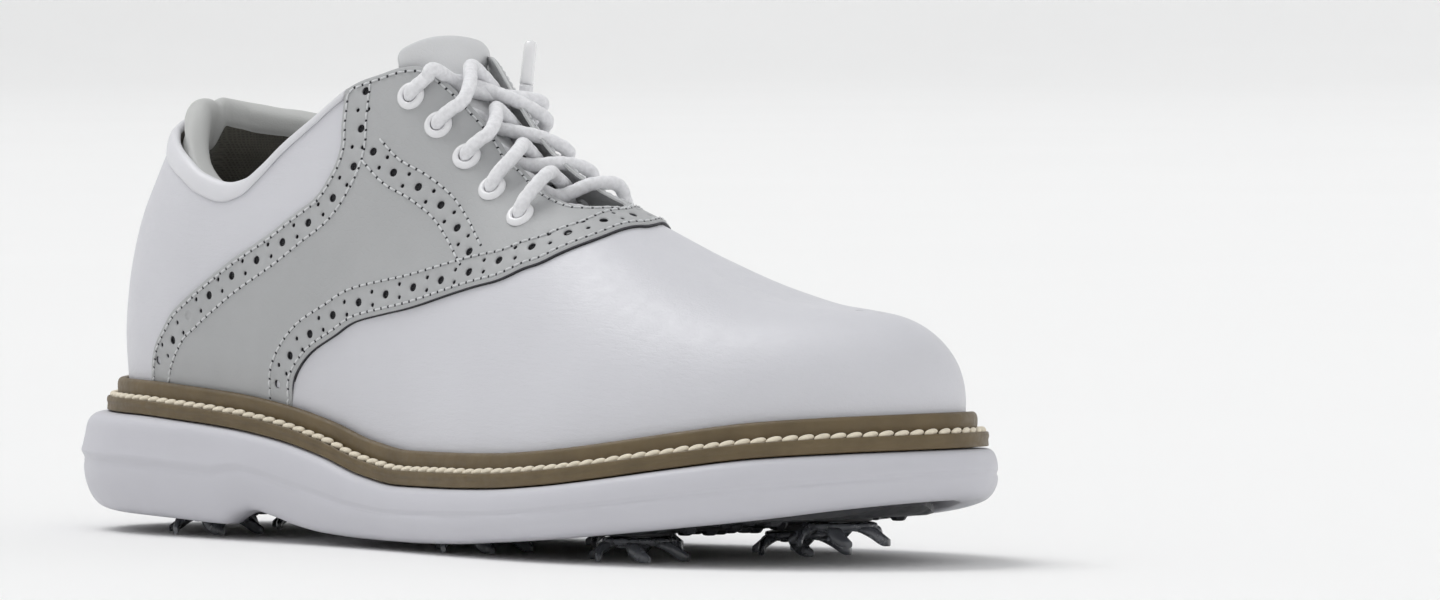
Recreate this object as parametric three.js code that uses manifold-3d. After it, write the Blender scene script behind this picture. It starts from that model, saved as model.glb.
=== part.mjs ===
// Right-foot golf shoe, men's size about EU 42.5: a saddle-pattern leather upper on a storm welt,
// a foamed midsole, two outsole plates and seven twist-in soft cleats.
// Millimetres. +X points to the toe, +Y to the medial (inner) side, +Z up.
// The origin is on the ground, under the middle of the shoe's bounding box.
import * as THREE from 'three';
import { mergeVertices } from 'three/addons/utils/BufferGeometryUtils.js';
import Module from 'manifold-3d';

// ---------------------------------------------------------------- driving dimensions
const FEATHER_LENGTH = 284;      // heel back to toe tip, where the upper meets the welt
const LEATHER = 1.4;             // thickness of the upper's leather
const GAP = 0.3;                 // clearance between neighbouring pieces
const RAND_DROP = 5.8;           // how far the upper runs down inside the welt
const WELT_HEIGHT = 8.4;         // welt, from its top ridge to the underside of its flange
const WELT_FLANGE = 5.6;         // how far the welt's flange stands out from the upper
const FLARE_HEEL = 12.6, FLARE_SIDE = 8.6, FLARE_TOE = 8.2;   // midsole beyond the upper
const CLEAT_DROP = 6.3;          // cleat tip below the receptacle's face
const CLEAT_R = 9.4, CLEAT_LEG_R = 13.6, CLEAT_LEGS = 6;
const STEM_R = 3.3, BORE_R = 3.7, STEM_LENGTH = 4.0;
const LACE_R = 1.6;              // round lace
const EYELET_BORE = 2.0, EYELET_BARREL = 2.3, EYELET_FLANGE = 3.85;
const TONGUE_THICK = 3.6;
const CENTRE = [139.8, -0.2];     // plan position of the part's origin among the outlines below

// ---------------------------------------------------------------- curves
// monotone cubic through a table of [x, y]
function table(rows) {
  const n = rows.length, X = rows.map(r => r[0]), Y = rows.map(r => r[1]);
  const h = [], d = [], m = new Array(n).fill(0);
  for (let i = 0; i < n - 1; i++) { h.push(X[i + 1] - X[i]); d.push((Y[i + 1] - Y[i]) / h[i]); }
  for (let i = 1; i < n - 1; i++) if (d[i - 1] * d[i] > 0) {
    const w1 = 2 * h[i] + h[i - 1], w2 = h[i] + 2 * h[i - 1];
    m[i] = (w1 + w2) / (w1 / d[i - 1] + w2 / d[i]);
  }
  m[0] = d[0]; m[n - 1] = d[n - 2];
  return x => {
    x = Math.min(Math.max(x, X[0]), X[n - 1]);
    let i = 0; while (i < n - 2 && x >= X[i + 1]) i++;
    const t = (x - X[i]) / h[i];
    return (1 + 2 * t) * (1 - t) ** 2 * Y[i] + t * (1 - t) ** 2 * h[i] * m[i]
      + t * t * (3 - 2 * t) * Y[i + 1] + t * t * (t - 1) * h[i] * m[i + 1];
  };
}
const clamp = (v, a, b) => Math.min(Math.max(v, a), b);
const smooth = t => { t = clamp(t, 0, 1); return t * t * (3 - 2 * t); };

// the feather line in plan, heel back to toe tip, outer (lateral) and inner (medial) halves
const LAT = [[0, 0.5], [0.8, -6.5], [3.2, -12.8], [7, -18.5], [12.5, -23.8], [25, -29.7], [45, -32.7], [70, -33.5], [95, -33.7], [120, -35.2], [145, -38.7], [168, -42.3], [190, -44.4], [210, -43.8], [230, -40], [247, -33.2], [261, -24], [272, -13.5], [279.5, -3], [283, 5], [284, 11.5]];
const MED = [[0, 0.5], [0.8, 7], [3.2, 13], [7, 18.3], [12.5, 23], [28, 29], [50, 31], [75, 29.5], [100, 27.2], [125, 25.8], [148, 27.8], [168, 32.2], [188, 38], [208, 42.4], [228, 44], [246, 42.6], [261, 38.2], [272, 31.8], [279.5, 23.5], [283, 17], [284, 11.5]];
function half(points) {
  const p = points, k = p.length, out = [];
  const a = [p[1][0], 2 * p[0][1] - p[1][1]], b = [p[k - 2][0], 2 * p[k - 1][1] - p[k - 2][1]];
  const q = [a, ...p, b];
  for (let i = 1; i < k; i++) for (let j = 0; j < 24; j++) {
    const t = j / 24, c = [];
    for (let e = 0; e < 2; e++) {
      const [p0, p1, p2, p3] = [q[i - 1][e], q[i][e], q[i + 1][e], q[i + 2][e]];
      c.push(0.5 * (2 * p1 + (p2 - p0) * t + (2 * p0 - 5 * p1 + 4 * p2 - p3) * t * t + (3 * p1 - p0 - 3 * p2 + p3) * t ** 3));
    }
    out.push(c);
  }
  out.push(p[k - 1]);
  const len = [0];
  for (let i = 1; i < out.length; i++) len.push(len[i - 1] + Math.hypot(out[i][0] - out[i - 1][0], out[i][1] - out[i - 1][1]));
  return s => {
    const q2 = clamp(s, 0, 1) * len[len.length - 1];
    let i = 0; while (i < len.length - 2 && q2 > len[i + 1]) i++;
    const t = (q2 - len[i]) / (len[i + 1] - len[i]);
    return [out[i][0] + (out[i + 1][0] - out[i][0]) * t, out[i][1] + (out[i + 1][1] - out[i][1]) * t];
  };
}
const halfL = half(LAT), halfM = half(MED);
const feather = (s, side) => (side < 0 ? halfL : halfM)(s);
// height of the feather line, ridge of the upper and how the section rounds over
const zFeather = table([[0, 40.5], [30, 40.3], [50, 39.4], [70, 38], [90, 35.4], [107, 32], [125, 27.5], [142, 25.6], [162, 25.8], [181, 26.4], [201, 28], [221, 30.6], [240, 33.6], [257, 36.2], [273, 37.6], [284, 38.3]]);
const ridgeY = table([[30, 0], [100, -2.5], [150, -3], [200, -1.5], [240, 3], [262, 9]]);
const ridgeZ = table([[30, 196], [60, 192], [85, 182], [100, 166], [110, 149], [118, 136.5], [125, 128], [132, 120.5], [140, 112.5], [150, 104], [160, 97.5], [170, 92.6], [185, 86.2], [200, 79], [220, 70.8], [237, 66.2], [250, 64.6], [262, 63.4]]);
const expP = table([[30, 2], [150, 2], [200, 2.15], [235, 2.3], [262, 2.35]]);
const expQ = table([[30, 1.5], [150, 1.5], [185, 1.6], [215, 1.9], [240, 2.2], [262, 2.4]]);
const bulge = table([[30, 0.02], [120, 0.03], [150, 0.045], [200, 0.03], [262, 0.015]]);
const H_NODES = [0, 12, 24, 34, 44, 54, 64, 76, 88, 100];
const wallTable = v => table(H_NODES.map((h, i) => [h, v[i]]));
const wallHeel = wallTable([0, -0.6, 0.2, 1.8, 4.3, 8.2, 12.2, 15.5, 18, 20]);
const wallSideL = wallTable([0, -1.8, -2.6, -2.0, -0.3, 2.2, 5.0, 9.0, 13, 17]);
const wallSideM = wallTable([0, -2.4, -3.6, -3.4, -1.8, 0.8, 4.0, 8.0, 12, 16]);
const wallWaistL = wallTable([0, -1.2, -1.6, -1.0, 0.4, 2.4, 4.8, 8.4, 12.6, 17.5]);
const wallWaistM = wallTable([0, -3.6, -5.6, -6.0, -5.0, -2.8, 0.4, 4.2, 8.6, 13.5]);

// a point on the outside of the upper: s runs heel to toe, tau runs feather line to ridge
function skin(s, tau, side) {
  if (s < 0) { s = -s; side = -side; }
  if (s > 1) { s = 2 - s; side = -side; }
  const [fx, fy] = feather(s, side);
  const xr = 30 + fx / FEATHER_LENGTH * 232, yr = ridgeY(xr), z0 = zFeather(fx), top = ridgeZ(xr);
  const h = tau * (top - z0), L = Math.hypot(xr - fx, yr - fy);
  const a = smooth((fx - 4) / 46), b = smooth((fx - 60) / 50);
  const ds = side < 0 ? wallSideL(h) : wallSideM(h), di = side < 0 ? wallWaistL(h) : wallWaistM(h);
  let g1 = ((wallHeel(h) * (1 - a) + ds * a) * (1 - b) + di * b) / L;
  if (h > 100) { const k = clamp((h - 100) / Math.max(top - z0 - 100, 1e-3), 0, 1); g1 += (1 - g1) * (1 - Math.sqrt(Math.max(1 - k ** 1.6, 0))); }
  const g2 = 1 - Math.max(1 - tau ** expQ(xr), 0) ** (1 / expP(xr)) - bulge(xr) * Math.sin(Math.PI * Math.min(tau, 1)) * (1 - 0.4 * tau);
  const w = smooth((xr - 100) / 50), g = g1 * (1 - w) + g2 * w;
  return new THREE.Vector3(fx + (xr - fx) * g, fy + (yr - fy) * g, z0 + h);
}
function normalAt(s, tau, side) {
  if (tau > 0.998) {
    const e = 0.01, p = skin(Math.max(s - e, 0), 1, side), q = skin(Math.min(s + e, 1), 1, side);
    const t = q.sub(p); return new THREE.Vector3(-t.z, 0, t.x).normalize();
  }
  const e = 0.004, t0 = Math.max(tau - e, 0), t1 = Math.min(tau + e, 0.999);
  const a = skin(s + e, tau, side).sub(skin(s - e, tau, side)), b = skin(s, t1, side).sub(skin(s, t0, side));
  const n = a.cross(b).normalize(); return side < 0 ? n : n.negate();
}
// the same point, d millimetres inside the leather's outer face
function inside(s, tau, side, d) {
  const p = skin(s, tau, side);
  return d === 0 ? p : p.addScaledVector(normalAt(s, tau, side), -d);
}
function tauAtHeight(s, side, z) { const [fx] = feather(s, side); return (z - zFeather(fx)) / (ridgeZ(30 + fx / FEATHER_LENGTH * 232) - zFeather(fx)); }

// ---------------------------------------------------------------- solids
const wasm = await Module(); wasm.setup();
function geometryOf(points, faces) {
  const g = new THREE.BufferGeometry();
  g.setAttribute('position', new THREE.BufferAttribute(new Float32Array(points.flatMap(p => [p.x, p.y, p.z])), 3));
  g.setIndex(faces.flat()); return g;
}
function solid(geometry) {
  let g = geometry.clone(); g.deleteAttribute('normal'); g.deleteAttribute('uv'); g = mergeVertices(g, 1e-4);
  return new wasm.Manifold(new wasm.Mesh({ numProp: 3, vertProperties: new Float32Array(g.attributes.position.array), triVerts: new Uint32Array(g.index.array) }));
}
function geometryFrom(manifold) {
  const m = manifold.getMesh(), n = m.vertProperties.length / m.numProp, pos = new Float32Array(n * 3);
  for (let i = 0; i < n; i++) for (let k = 0; k < 3; k++) pos[i * 3 + k] = m.vertProperties[i * m.numProp + k];
  const g = new THREE.BufferGeometry(); g.setAttribute('position', new THREE.BufferAttribute(pos, 3)); g.setIndex([...m.triVerts]); return g;
}
// closed rings stacked into a body, with fan ends, or ends laced across from one side to the other
function loft(rings, strips = false) {
  const n = rings[0].length, pts = rings.flat(), f = [];
  for (let r = 0; r < rings.length - 1; r++) for (let i = 0; i < n; i++) {
    const a = r * n + i, b = r * n + (i + 1) % n; f.push([a, b, a + n], [b, b + n, a + n]);
  }
  const last = (rings.length - 1) * n;
  if (strips) {
    for (let i = 0; i < n / 2; i++) for (const [o, flip] of [[0, true], [last, false]]) {
      const a = o + i, b = o + i + 1, c = o + (n - i) % n, d = o + n - i - 1;
      for (const t of [[a, b, d], [a, d, c]]) if (new Set(t).size === 3) f.push(flip ? [t[0], t[2], t[1]] : t);
    }
    return outward(geometryOf(pts, f));
  }
  const mean = ring => ring.reduce((s, p) => s.add(p), new THREE.Vector3()).multiplyScalar(1 / n);
  const c0 = pts.length, c1 = c0 + 1; pts.push(mean(rings[0]), mean(rings[rings.length - 1]));
  for (let i = 0; i < n; i++) { f.push([c0, (i + 1) % n, i]); f.push([c1, last + i, last + (i + 1) % n]); }
  return outward(geometryOf(pts, f));
}
// closed sections joined round a closed path
function ring(sections) {
  const m = sections.length, n = sections[0].length, pts = sections.flat(), f = [];
  for (let r = 0; r < m; r++) for (let i = 0; i < n; i++) {
    const r2 = (r + 1) % m, a = r * n + i, b = r * n + (i + 1) % n, c = r2 * n + i, d = r2 * n + (i + 1) % n;
    f.push([a, b, c], [b, d, c]);
  }
  return outward(geometryOf(pts, f));
}
function outward(g) {
  const p = g.attributes.position.array, ix = g.index.array; let v = 0;
  for (let i = 0; i < ix.length; i += 3) {
    const [a, b, c] = [ix[i] * 3, ix[i + 1] * 3, ix[i + 2] * 3];
    v += p[a] * (p[b + 1] * p[c + 2] - p[b + 2] * p[c + 1]) - p[a + 1] * (p[b] * p[c + 2] - p[b + 2] * p[c]) + p[a + 2] * (p[b] * p[c + 1] - p[b + 1] * p[c]);
  }
  if (v < 0) { const q = [...ix]; for (let i = 0; i < q.length; i += 3) [q[i], q[i + 1]] = [q[i + 1], q[i]]; g.setIndex(q); }
  return g;
}
// the whole upper as one closed body, its face d inside the leather's outer face
const ROWS = [0, 0.1, 0.21, 0.34, 0.5, 0.66, 0.81, 0.92, 0.98, 1], STATIONS = 22;
const COARSE_ROWS = [0, 0.1, 0.21, 0.34, 0.66, 0.92, 1], COARSE_STATIONS = 22;
function body(d, drop, coarse = false) {
  const rows = coarse ? COARSE_ROWS : ROWS, stations = coarse ? COARSE_STATIONS : STATIONS;
  const pts = [], f = [], id = new Map(), m = rows.length;
  const at = (i, j, side) => {           // j -1 is the skirt below the feather line
    const shared = i === 0 || i === stations || j === m - 1;
    const key = `${i},${j},${shared ? 0 : side}`;
    if (!id.has(key)) {
      const t = i / stations, s = t; let p;
      if (j < 0) { p = inside(s, 0, side, d); p.z = zFeather(feather(s, side)[0]) - drop; } else p = inside(s, rows[j], side, d);
      id.set(key, pts.length); pts.push(p);
    }
    return id.get(key);
  };
  for (const side of [-1, 1]) for (let i = 0; i < stations; i++) {
    for (let j = -1; j < m - 1; j++) {
      const a = at(i, j, side), b = at(i + 1, j, side), c = at(i, j + 1, side), e = at(i + 1, j + 1, side);
      if (side < 0) f.push([a, b, e], [a, e, c]); else f.push([a, e, b], [a, c, e]);
    }
  }
  for (let i = 0; i < stations; i++) {
    const a = at(i, -1, -1), b = at(i + 1, -1, -1), c = at(i, -1, 1), e = at(i + 1, -1, 1);
    if (a !== c) f.push([a, c, b]); if (b !== e) f.push([c, e, b]);
  }
  return solid(outward(geometryOf(pts, f.filter(t => t[0] !== t[1] && t[1] !== t[2] && t[0] !== t[2]))));
}
// side-view outline (x, z) run across the shoe from y0 to y1
function across(outline, y0 = -120, y1 = 120) {
  const g = new THREE.ExtrudeGeometry(new THREE.Shape(outline.map(p => new THREE.Vector2(p[0], p[1]))), { depth: y1 - y0, bevelEnabled: false });
  g.rotateX(Math.PI / 2); g.translate(0, y1, 0); return solid(g);
}
// plan outline (x, y) run up from z0 to z1
function upright(outline, z0, z1) {
  const g = new THREE.ExtrudeGeometry(new THREE.Shape(outline.map(p => new THREE.Vector2(p[0], p[1]))), { depth: z1 - z0, bevelEnabled: false });
  g.translate(0, 0, z0); return solid(g);
}
function shifted(line, d) {             // parallel copy of an open polyline
  return line.map((p, i) => {
    const a = line[Math.max(i - 1, 0)], b = line[Math.min(i + 1, line.length - 1)], L = Math.hypot(b[0] - a[0], b[1] - a[1]);
    return [p[0] - (b[1] - a[1]) / L * d, p[1] + (b[0] - a[0]) / L * d];
  });
}

// ---------------------------------------------------------------- pattern lines, in side view (x, z)
// the collar dips lower under the outer ankle bone than under the inner one
const TOPLINE_L = [[-8, 109.5], [9, 109.4], [14, 108.4], [20, 105.8], [28.4, 102.6], [40.8, 98], [50, 94.2], [60.7, 92], [67, 93.2], [73, 97.2], [80, 103.4], [90, 110.9], [99, 117.6], [109, 122.2], [117, 124.3]];
const TOPLINE_M = [[-8, 109.5], [9, 109.4], [14, 108.8], [20, 108.6], [30, 108.2], [41, 107.2], [52, 106.4], [62, 106.4], [73, 108.2], [84, 111.8], [95, 116.4], [102, 119.4], [109, 122.2], [117, 124.3]];
const topL = table(TOPLINE_L), topM = table(TOPLINE_M), topZ = (x, side) => side < 0 ? topL(x) : topM(x);
const ABOVE = rows => [...rows, [122, 124.2], [125, 122.6], [127.5, 121], [128, 230], [-40, 230], [-40, 109.5]];
const REAR = [[28, 30], [29.4, 38], [30.6, 43.3], [34.5, 50.5], [41, 57.4], [49.5, 63.3], [59.9, 69.5], [74.1, 77], [84.7, 83], [95.7, 90], [100.8, 97.4], [102.1, 103.4], [100.9, 109.2], [99, 118], [97.5, 126]];
const FRONT = [[87, 20], [88.2, 32], [91.3, 42.8], [97.8, 49.5], [107.8, 54.8], [116.9, 58.9], [135.7, 62.6], [158.4, 68.4], [167, 70.4], [173.4, 73.1], [180.6, 76], [186.5, 79.4], [190.6, 84], [192, 95]];
// the throat between the facings, in plan
const THROAT_L = [[112, -22], [119, -17.8], [125, -14], [130.4, -12.6], [139.5, -11.1], [150, -11.6], [164.2, -13.2], [171.1, -13.2], [175.5, -12], [179.3, -8], [181, -2.5]];
const THROAT = [...THROAT_L, ...THROAT_L.slice(0, -1).reverse().map(p => [p[0], -5 - p[1]])];

const outer = body(0, RAND_DROP), inner = body(LEATHER, RAND_DROP + 2);
const above = across(ABOVE(TOPLINE_L), -120, -1).add(across(ABOVE(TOPLINE_M), -1, 120)), throat = upright(THROAT, 70, 240);
const leather = outer.subtract(inner).subtract(above).subtract(throat);
const rearOf = across([...shifted(REAR, GAP), [97, 240], [-60, 240], [-60, 20], [28, 20]]);
const notSaddle = across([...REAR, [97, 240], [-60, 240], [-60, 20], [28, 20]]);
const frontOf = across([...shifted(FRONT, -GAP), [192, 240], [400, 240], [400, 10], [87, 10]]);
const notSaddleFront = across([...FRONT, [192, 240], [400, 240], [400, 10], [87, 10]]);

// eyelets, top to bottom, as [x, distance from the throat's middle line]
const EYELETS = [[120.6, 16.8], [130.1, 16], [140.1, 15.3], [151, 16.2], [163.6, 18]];
const MIDDLE = -2.7;
function onSkin(x, y) {                  // find the skin point over a plan position near the ridge
  const side = y < MIDDLE ? -1 : 1; let best = null, bd = 1e9;
  let lo = [0.25, 0.5], hi = [0.75, 1];
  for (let pass = 0; pass < 5; pass++) {
    for (let i = 0; i <= 24; i++) for (let j = 0; j <= 24; j++) {
      const s = lo[0] + (hi[0] - lo[0]) * i / 24, t = lo[1] + (hi[1] - lo[1]) * j / 24, p = skin(s, t, side), q = Math.hypot(p.x - x, p.y - y);
      if (q < bd) { bd = q; best = [s, t]; }
    }
    const ws = (hi[0] - lo[0]) / 8, wt = (hi[1] - lo[1]) / 8;
    lo = [best[0] - ws, Math.max(best[1] - wt, 0)]; hi = [best[0] + ws, Math.min(best[1] + wt, 1)];
  }
  return { p: skin(best[0], best[1], side), n: normalAt(best[0], best[1], side) };
}
const aim = n => new THREE.Quaternion().setFromUnitVectors(new THREE.Vector3(0, 1, 0), n);
const eyelets = [];
for (const [name, sign] of [['lateral', -1], ['medial', 1]]) EYELETS.forEach(([x, off], i) => {
  const at = onSkin(x, MIDDLE + sign * off); eyelets.push({ name: `eyelet_${name}_${i + 1}`, side: sign, level: i, ...at });
});
let saddle = leather.subtract(notSaddle).subtract(notSaddleFront);
for (const e of eyelets) {
  const c = new THREE.CylinderGeometry(EYELET_BARREL + 0.4, EYELET_BARREL + 0.4, 12, 8);
  c.applyQuaternion(aim(e.n)); c.translate(e.p.x, e.p.y, e.p.z); saddle = saddle.subtract(solid(c));
}
const quarter = leather.intersect(rearOf);
const vamp = leather.intersect(frontOf);

// ---------------------------------------------------------------- inner layers
const LINING_TOP = [[-30, 80], [8, 79], [30, 73], [42, 69], [60, 64.5], [75, 68], [100, 84], [120, 82], [150, 70], [178, 64], [193, 60], [194, 110], [194, 240], [-60, 240]];
const liningTop = across(LINING_TOP);
const lining = body(3.6, RAND_DROP, true).subtract(body(4.6, RAND_DROP + 2, true)).subtract(liningTop);
const counter = body(1.8, RAND_DROP).subtract(body(2.9, RAND_DROP + 2)).subtract(liningTop).intersect(across([[-40, 20], [72, 20], [72, 56], [60, 63], [60, 120], [-40, 120]]));
const puff = body(1.8, RAND_DROP).subtract(body(2.9, RAND_DROP + 2)).intersect(across([[236, 20], [320, 20], [320, 120], [244, 120], [238, 60]]));

// stations along the topline: lateral front, round the heel, medial front
const U = []; for (let i = -15; i <= 15; i++) U.push(i / 15);
function toplineAt(u) {
  const side = u < 0 ? -1 : 1; const s = Math.abs(u) * 0.345; let z = 100;
  for (let k = 0; k < 12; k++) { const p = skin(s, tauAtHeight(s, side, z), side); z = topZ(p.x, side); }
  return { s, side, z };
}
function wallPoint(t, z, d) { const tau = tauAtHeight(t.s, t.side, z); return inside(t.s, tau, t.side, d); }
// how far the padded roll stands above the topline, outer and inner side, from the heel to the front
const crownL = table([[0, 7], [0.145, 9], [0.232, 10], [0.29, 9.3], [0.348, 7.4], [0.406, 4.2], [0.49, 1.6], [0.58, 1], [1, 1]]);
const crownM = table([[0, 7], [0.06, 8], [0.19, 7], [0.3, 5.9], [0.45, 5.2], [0.72, 4], [0.9, 1.6], [1, 1]]);
const padding = loft(U.map(u => {
  const t = toplineAt(u), e = 1 - Math.abs(u), c = smooth(e / 0.25), th = 2.2 + 4.6 * c;
  const crown = (u < 0 ? crownL : crownM)(Math.abs(u)), k = 1.4 * smooth((crown - 4) / 4);
  const low = topZ(wallPoint(t, t.z, 0).x, -1) - 23.5;
  return [wallPoint(t, t.z - 0.5, 2.9), wallPoint(t, t.z + crown * 0.35, 2.7), wallPoint(t, t.z + crown * 0.66, 2.9 - k), wallPoint(t, t.z + crown * 0.93, 3.1), wallPoint(t, t.z + crown, 2.8 + th * 0.5), wallPoint(t, t.z + crown * 0.62, 2.6 + th * 0.9), wallPoint(t, t.z - 3, 2.8 + th), wallPoint(t, t.z - 14, 2.8 + th * 0.92), wallPoint(t, low, 2.8 + th * 0.4 + 0.8), wallPoint(t, low, 2.9)];
}));
const binding = loft(U.map(u => {
  const t = toplineAt(u), c = wallPoint(t, t.z, 0.6), up = new THREE.Vector3(0, 0, 1), a = wallPoint(t, t.z, 2).sub(c).normalize(), r = 1.15;
  c.addScaledVector(up, r + GAP + 0.25);
  return Array.from({ length: 6 }, (_, k) => { const w = k / 6 * 2 * Math.PI; return c.clone().addScaledVector(a, r * Math.cos(w)).addScaledVector(up, r * Math.sin(w)); });
}));
// pull tab: a strip up the back seam, lying on the quarter
const tabRows = [[72, 9], [80, 9.6], [88, 10.4], [96, 11.4], [102, 12], [106, 12.2]];
const tab = loft(tabRows.map(([z, w]) => {
  const row = [], m = 4;
  for (const [d, dir] of [[-2.2, 1], [-1.1, -1]]) for (let k = 0; k <= m; k++) {
    const v = dir * (k / m * 2 - 1) * w, s = Math.abs(v) / 300, side = v < 0 ? -1 : 1; row.push(inside(s, tauAtHeight(s, side, z), side, d));
  }
  return row;
}));

// ---------------------------------------------------------------- tongue
// centre x, z, half width, depth of the curve, half angle, then where set: shift across and slope of the depth direction
const TONGUE = [[186, 75.8, 10, 7.5, 70], [179, 78.4, 11.5, 9, 75], [169, 82.4, 12.2, 10.5, 78], [158.4, 87.6, 12.6, 12, 80], [148.4, 94, 12.8, 13.4, 82], [139.4, 101.6, 12.8, 14, 84], [131.5, 109.5, 13, 14.8, 84], [124.8, 117.4, 13.8, 15.2, 83], [120.4, 123.6, 15.0, 13, 74, 0.0, 26], [118.2, 128.4, 16.2, 9, 72, 0.2, 44], [116.8, 131.8, 17.5, 8.4, 68, 0.5, 56], [115.9, 133.3, 17, 7.2, 60, 0.8, 60]];
const tongue = loft(TONGUE.map(([x, z, a, b, deg, dy = 0, tilt], i) => {
  const p = TONGUE[Math.max(i - 1, 0)], q = TONGUE[Math.min(i + 1, TONGUE.length - 1)], L = Math.hypot(q[0] - p[0], q[1] - p[1]), w0 = tilt * Math.PI / 180;
  const down = tilt === undefined ? new THREE.Vector3(-(q[1] - p[1]) / L, 0, (q[0] - p[0]) / L) : new THREE.Vector3(-Math.cos(w0), 0, -Math.sin(w0));   // into the foot
  const row = [], m = 6, y0 = ridgeY(x) + dy;
  for (const [in_, dir] of [[0, 1], [TONGUE_THICK, -1]]) for (let k = 0; k <= m; k++) {
    const w = dir * (k / m * 2 - 1) * deg * Math.PI / 180, A = a - in_, B = b - in_;
    row.push(new THREE.Vector3(x, y0 + A * Math.sin(w), z).addScaledVector(down, in_ + B * (1 - Math.cos(w))));
  }
  return row;
}));

// ---------------------------------------------------------------- footbed and bottom
function planRing(n, offset) {           // feather outline offset outwards by offset(x)
  const out = [];
  for (let i = 0; i < n; i++) {
    const u = i / n * 2, side = u < 1 ? -1 : 1, s = u < 1 ? u : 2 - u, e = 0.006;
    const f = k => { let v = s + k * e * -side, sd = side; if (v < 0) { v = -v; sd = -sd; } if (v > 1) { v = 2 - v; sd = -sd; } return feather(v, sd); };
    const p = feather(s, side), a = f(-1), b = f(1), L = Math.hypot(b[0] - a[0], b[1] - a[1]), o = offset(p[0]);
    out.push([p[0] + (b[1] - a[1]) / L * o, p[1] - (b[0] - a[0]) / L * o, p[0]]);
  }
  return out;
}
const plate = (n, inset, zLow, zHigh) => {
  const o = planRing(n, () => -inset);
  return loft([zLow, zHigh].map(z => o.map(p => new THREE.Vector3(p[0], p[1], z(p[2])))), true);
};
// the footbed is flat under the heel
const bed = table([[0, 39.6], [62, 39.6], [85, 36.2], [107, 32], [125, 27.6], [142, 25.8], [162, 25.9], [181, 26.4], [201, 28], [221, 30.6], [240, 33.6], [257, 36.2], [284, 38]]);
const board = plate(44, 0.8, x => zFeather(x) - 8.3, x => zFeather(x) - 6.2);
const filler = plate(44, 5.4, x => zFeather(x) - 5.8, x => Math.min(bed(x), zFeather(x)) - 3.0);
const sockliner = plate(44, 5.6, x => Math.min(bed(x), zFeather(x)) - 2.6, x => bed(x) + 1.4);

const weltSections = planRing(44, () => 0).map((p, i, all) => {
  const a = all[(i + all.length - 1) % all.length], b = all[(i + 1) % all.length], L = Math.hypot(b[0] - a[0], b[1] - a[1]);
  const nx = (b[1] - a[1]) / L, ny = -(b[0] - a[0]) / L, z = zFeather(p[0]);
  return { x: p[0], y: p[1], nx, ny, z };
});
const weltPoint = (w, o, dz) => new THREE.Vector3(w.x + w.nx * o, w.y + w.ny * o, w.z + dz);
const welt = ring(weltSections.map(w => [[0.9, 0.1], [2.6, -0.2], [3.0, -4.6], [WELT_FLANGE, -4.8], [WELT_FLANGE, -WELT_HEIGHT], [0.5, -WELT_HEIGHT]].map(([o, dz]) => weltPoint(w, o, dz))));
const stitching = ring(weltSections.map(w => [[3.8, -4.4], [4.9, -4.4], [4.9, -3.5], [3.8, -3.5]].map(([o, dz]) => weltPoint(w, o, dz))));

const zLip = table([[0, 5.6], [45, 4.6], [66, 3.9], [71, 6.2], [77, 8], [86, 6.6], [96, 4.4], [106, 3.1], [123, 2.4], [142, 2.3], [162, 2.8], [181, 4], [201, 5.6], [221, 7.6], [240, 9.8], [258, 12.2], [274, 15], [286, 17]]);
const zPlate = table([[0, 6.6], [80, 6.6], [110, 6.6], [154, 6.3], [185, 6.3], [217, 6.9], [227, 8], [238, 10.7], [254, 11], [266, 11.8], [275, 15]]);
const flare = x => FLARE_HEEL + (FLARE_SIDE - FLARE_HEEL) * smooth(x / 70) + (FLARE_TOE - FLARE_SIDE) * smooth((x - 230) / 50);
const midRing = (k, dz) => planRing(44, x => flare(x) * k).map(p => new THREE.Vector3(p[0], p[1], dz(p[2])));
const zTop = x => zFeather(x) - WELT_HEIGHT - GAP;
const mix = t => x => zLip(x) + (zTop(x) - zLip(x)) * t;
let midsole = solid(loft([midRing(0.30, mix(0)), midRing(0.62, mix(0.10)), midRing(0.9, mix(0.32)), midRing(1, mix(0.58)), midRing(0.9, mix(0.84)), midRing(0.52, mix(1))], true));
// recess for the two plates, open below
function plateSolid(x0, x1, inset, zLow, zHigh) {
  const m = 11;
  const edgeY = (x, side) => { let s = 0.5, a = 0, b = 1; for (let k = 0; k < 30; k++) { s = (a + b) / 2; if (feather(s, side)[0] < x) a = s; else b = s; } return feather(s, side)[1]; };
  const rows = [];
  for (let i = 0; i <= m; i++) {
    const t = i / m, x = x0 + (x1 - x0) * t, c = 0.5 * (edgeY(x, -1) + edgeY(x, 1)), w = 0.5 * (edgeY(x, 1) - edgeY(x, -1)) - inset;
    const r = Math.min(1, Math.sqrt(Math.max(1 - (Math.max(0, 0.16 - Math.min(t, 1 - t)) / 0.17) ** 2, 0.02)));
    rows.push([x, c - w * r, c + w * r]);
  }
  return loft(rows.map(([x, a, b]) => [[a, zLow(x)], [b, zLow(x)], [b, zHigh(x)], [a, zHigh(x)]].map(([y, z]) => new THREE.Vector3(x, y, z))));
}
const under = () => -6;
midsole = midsole.subtract(solid(plateSolid(107.5, 274.5, 1.6, under, x => zPlate(x) + 2.6)))
  .subtract(solid(plateSolid(3.5, 70.5, 1.6, under, x => zPlate(x) + 2.6)));
let soleFront = solid(plateSolid(108.5, 273.5, 2.6, zPlate, x => zPlate(x) + 2.3));
let soleHeel = solid(plateSolid(4.5, 69.5, 2.6, zPlate, x => zPlate(x) + 2.3));

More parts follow.
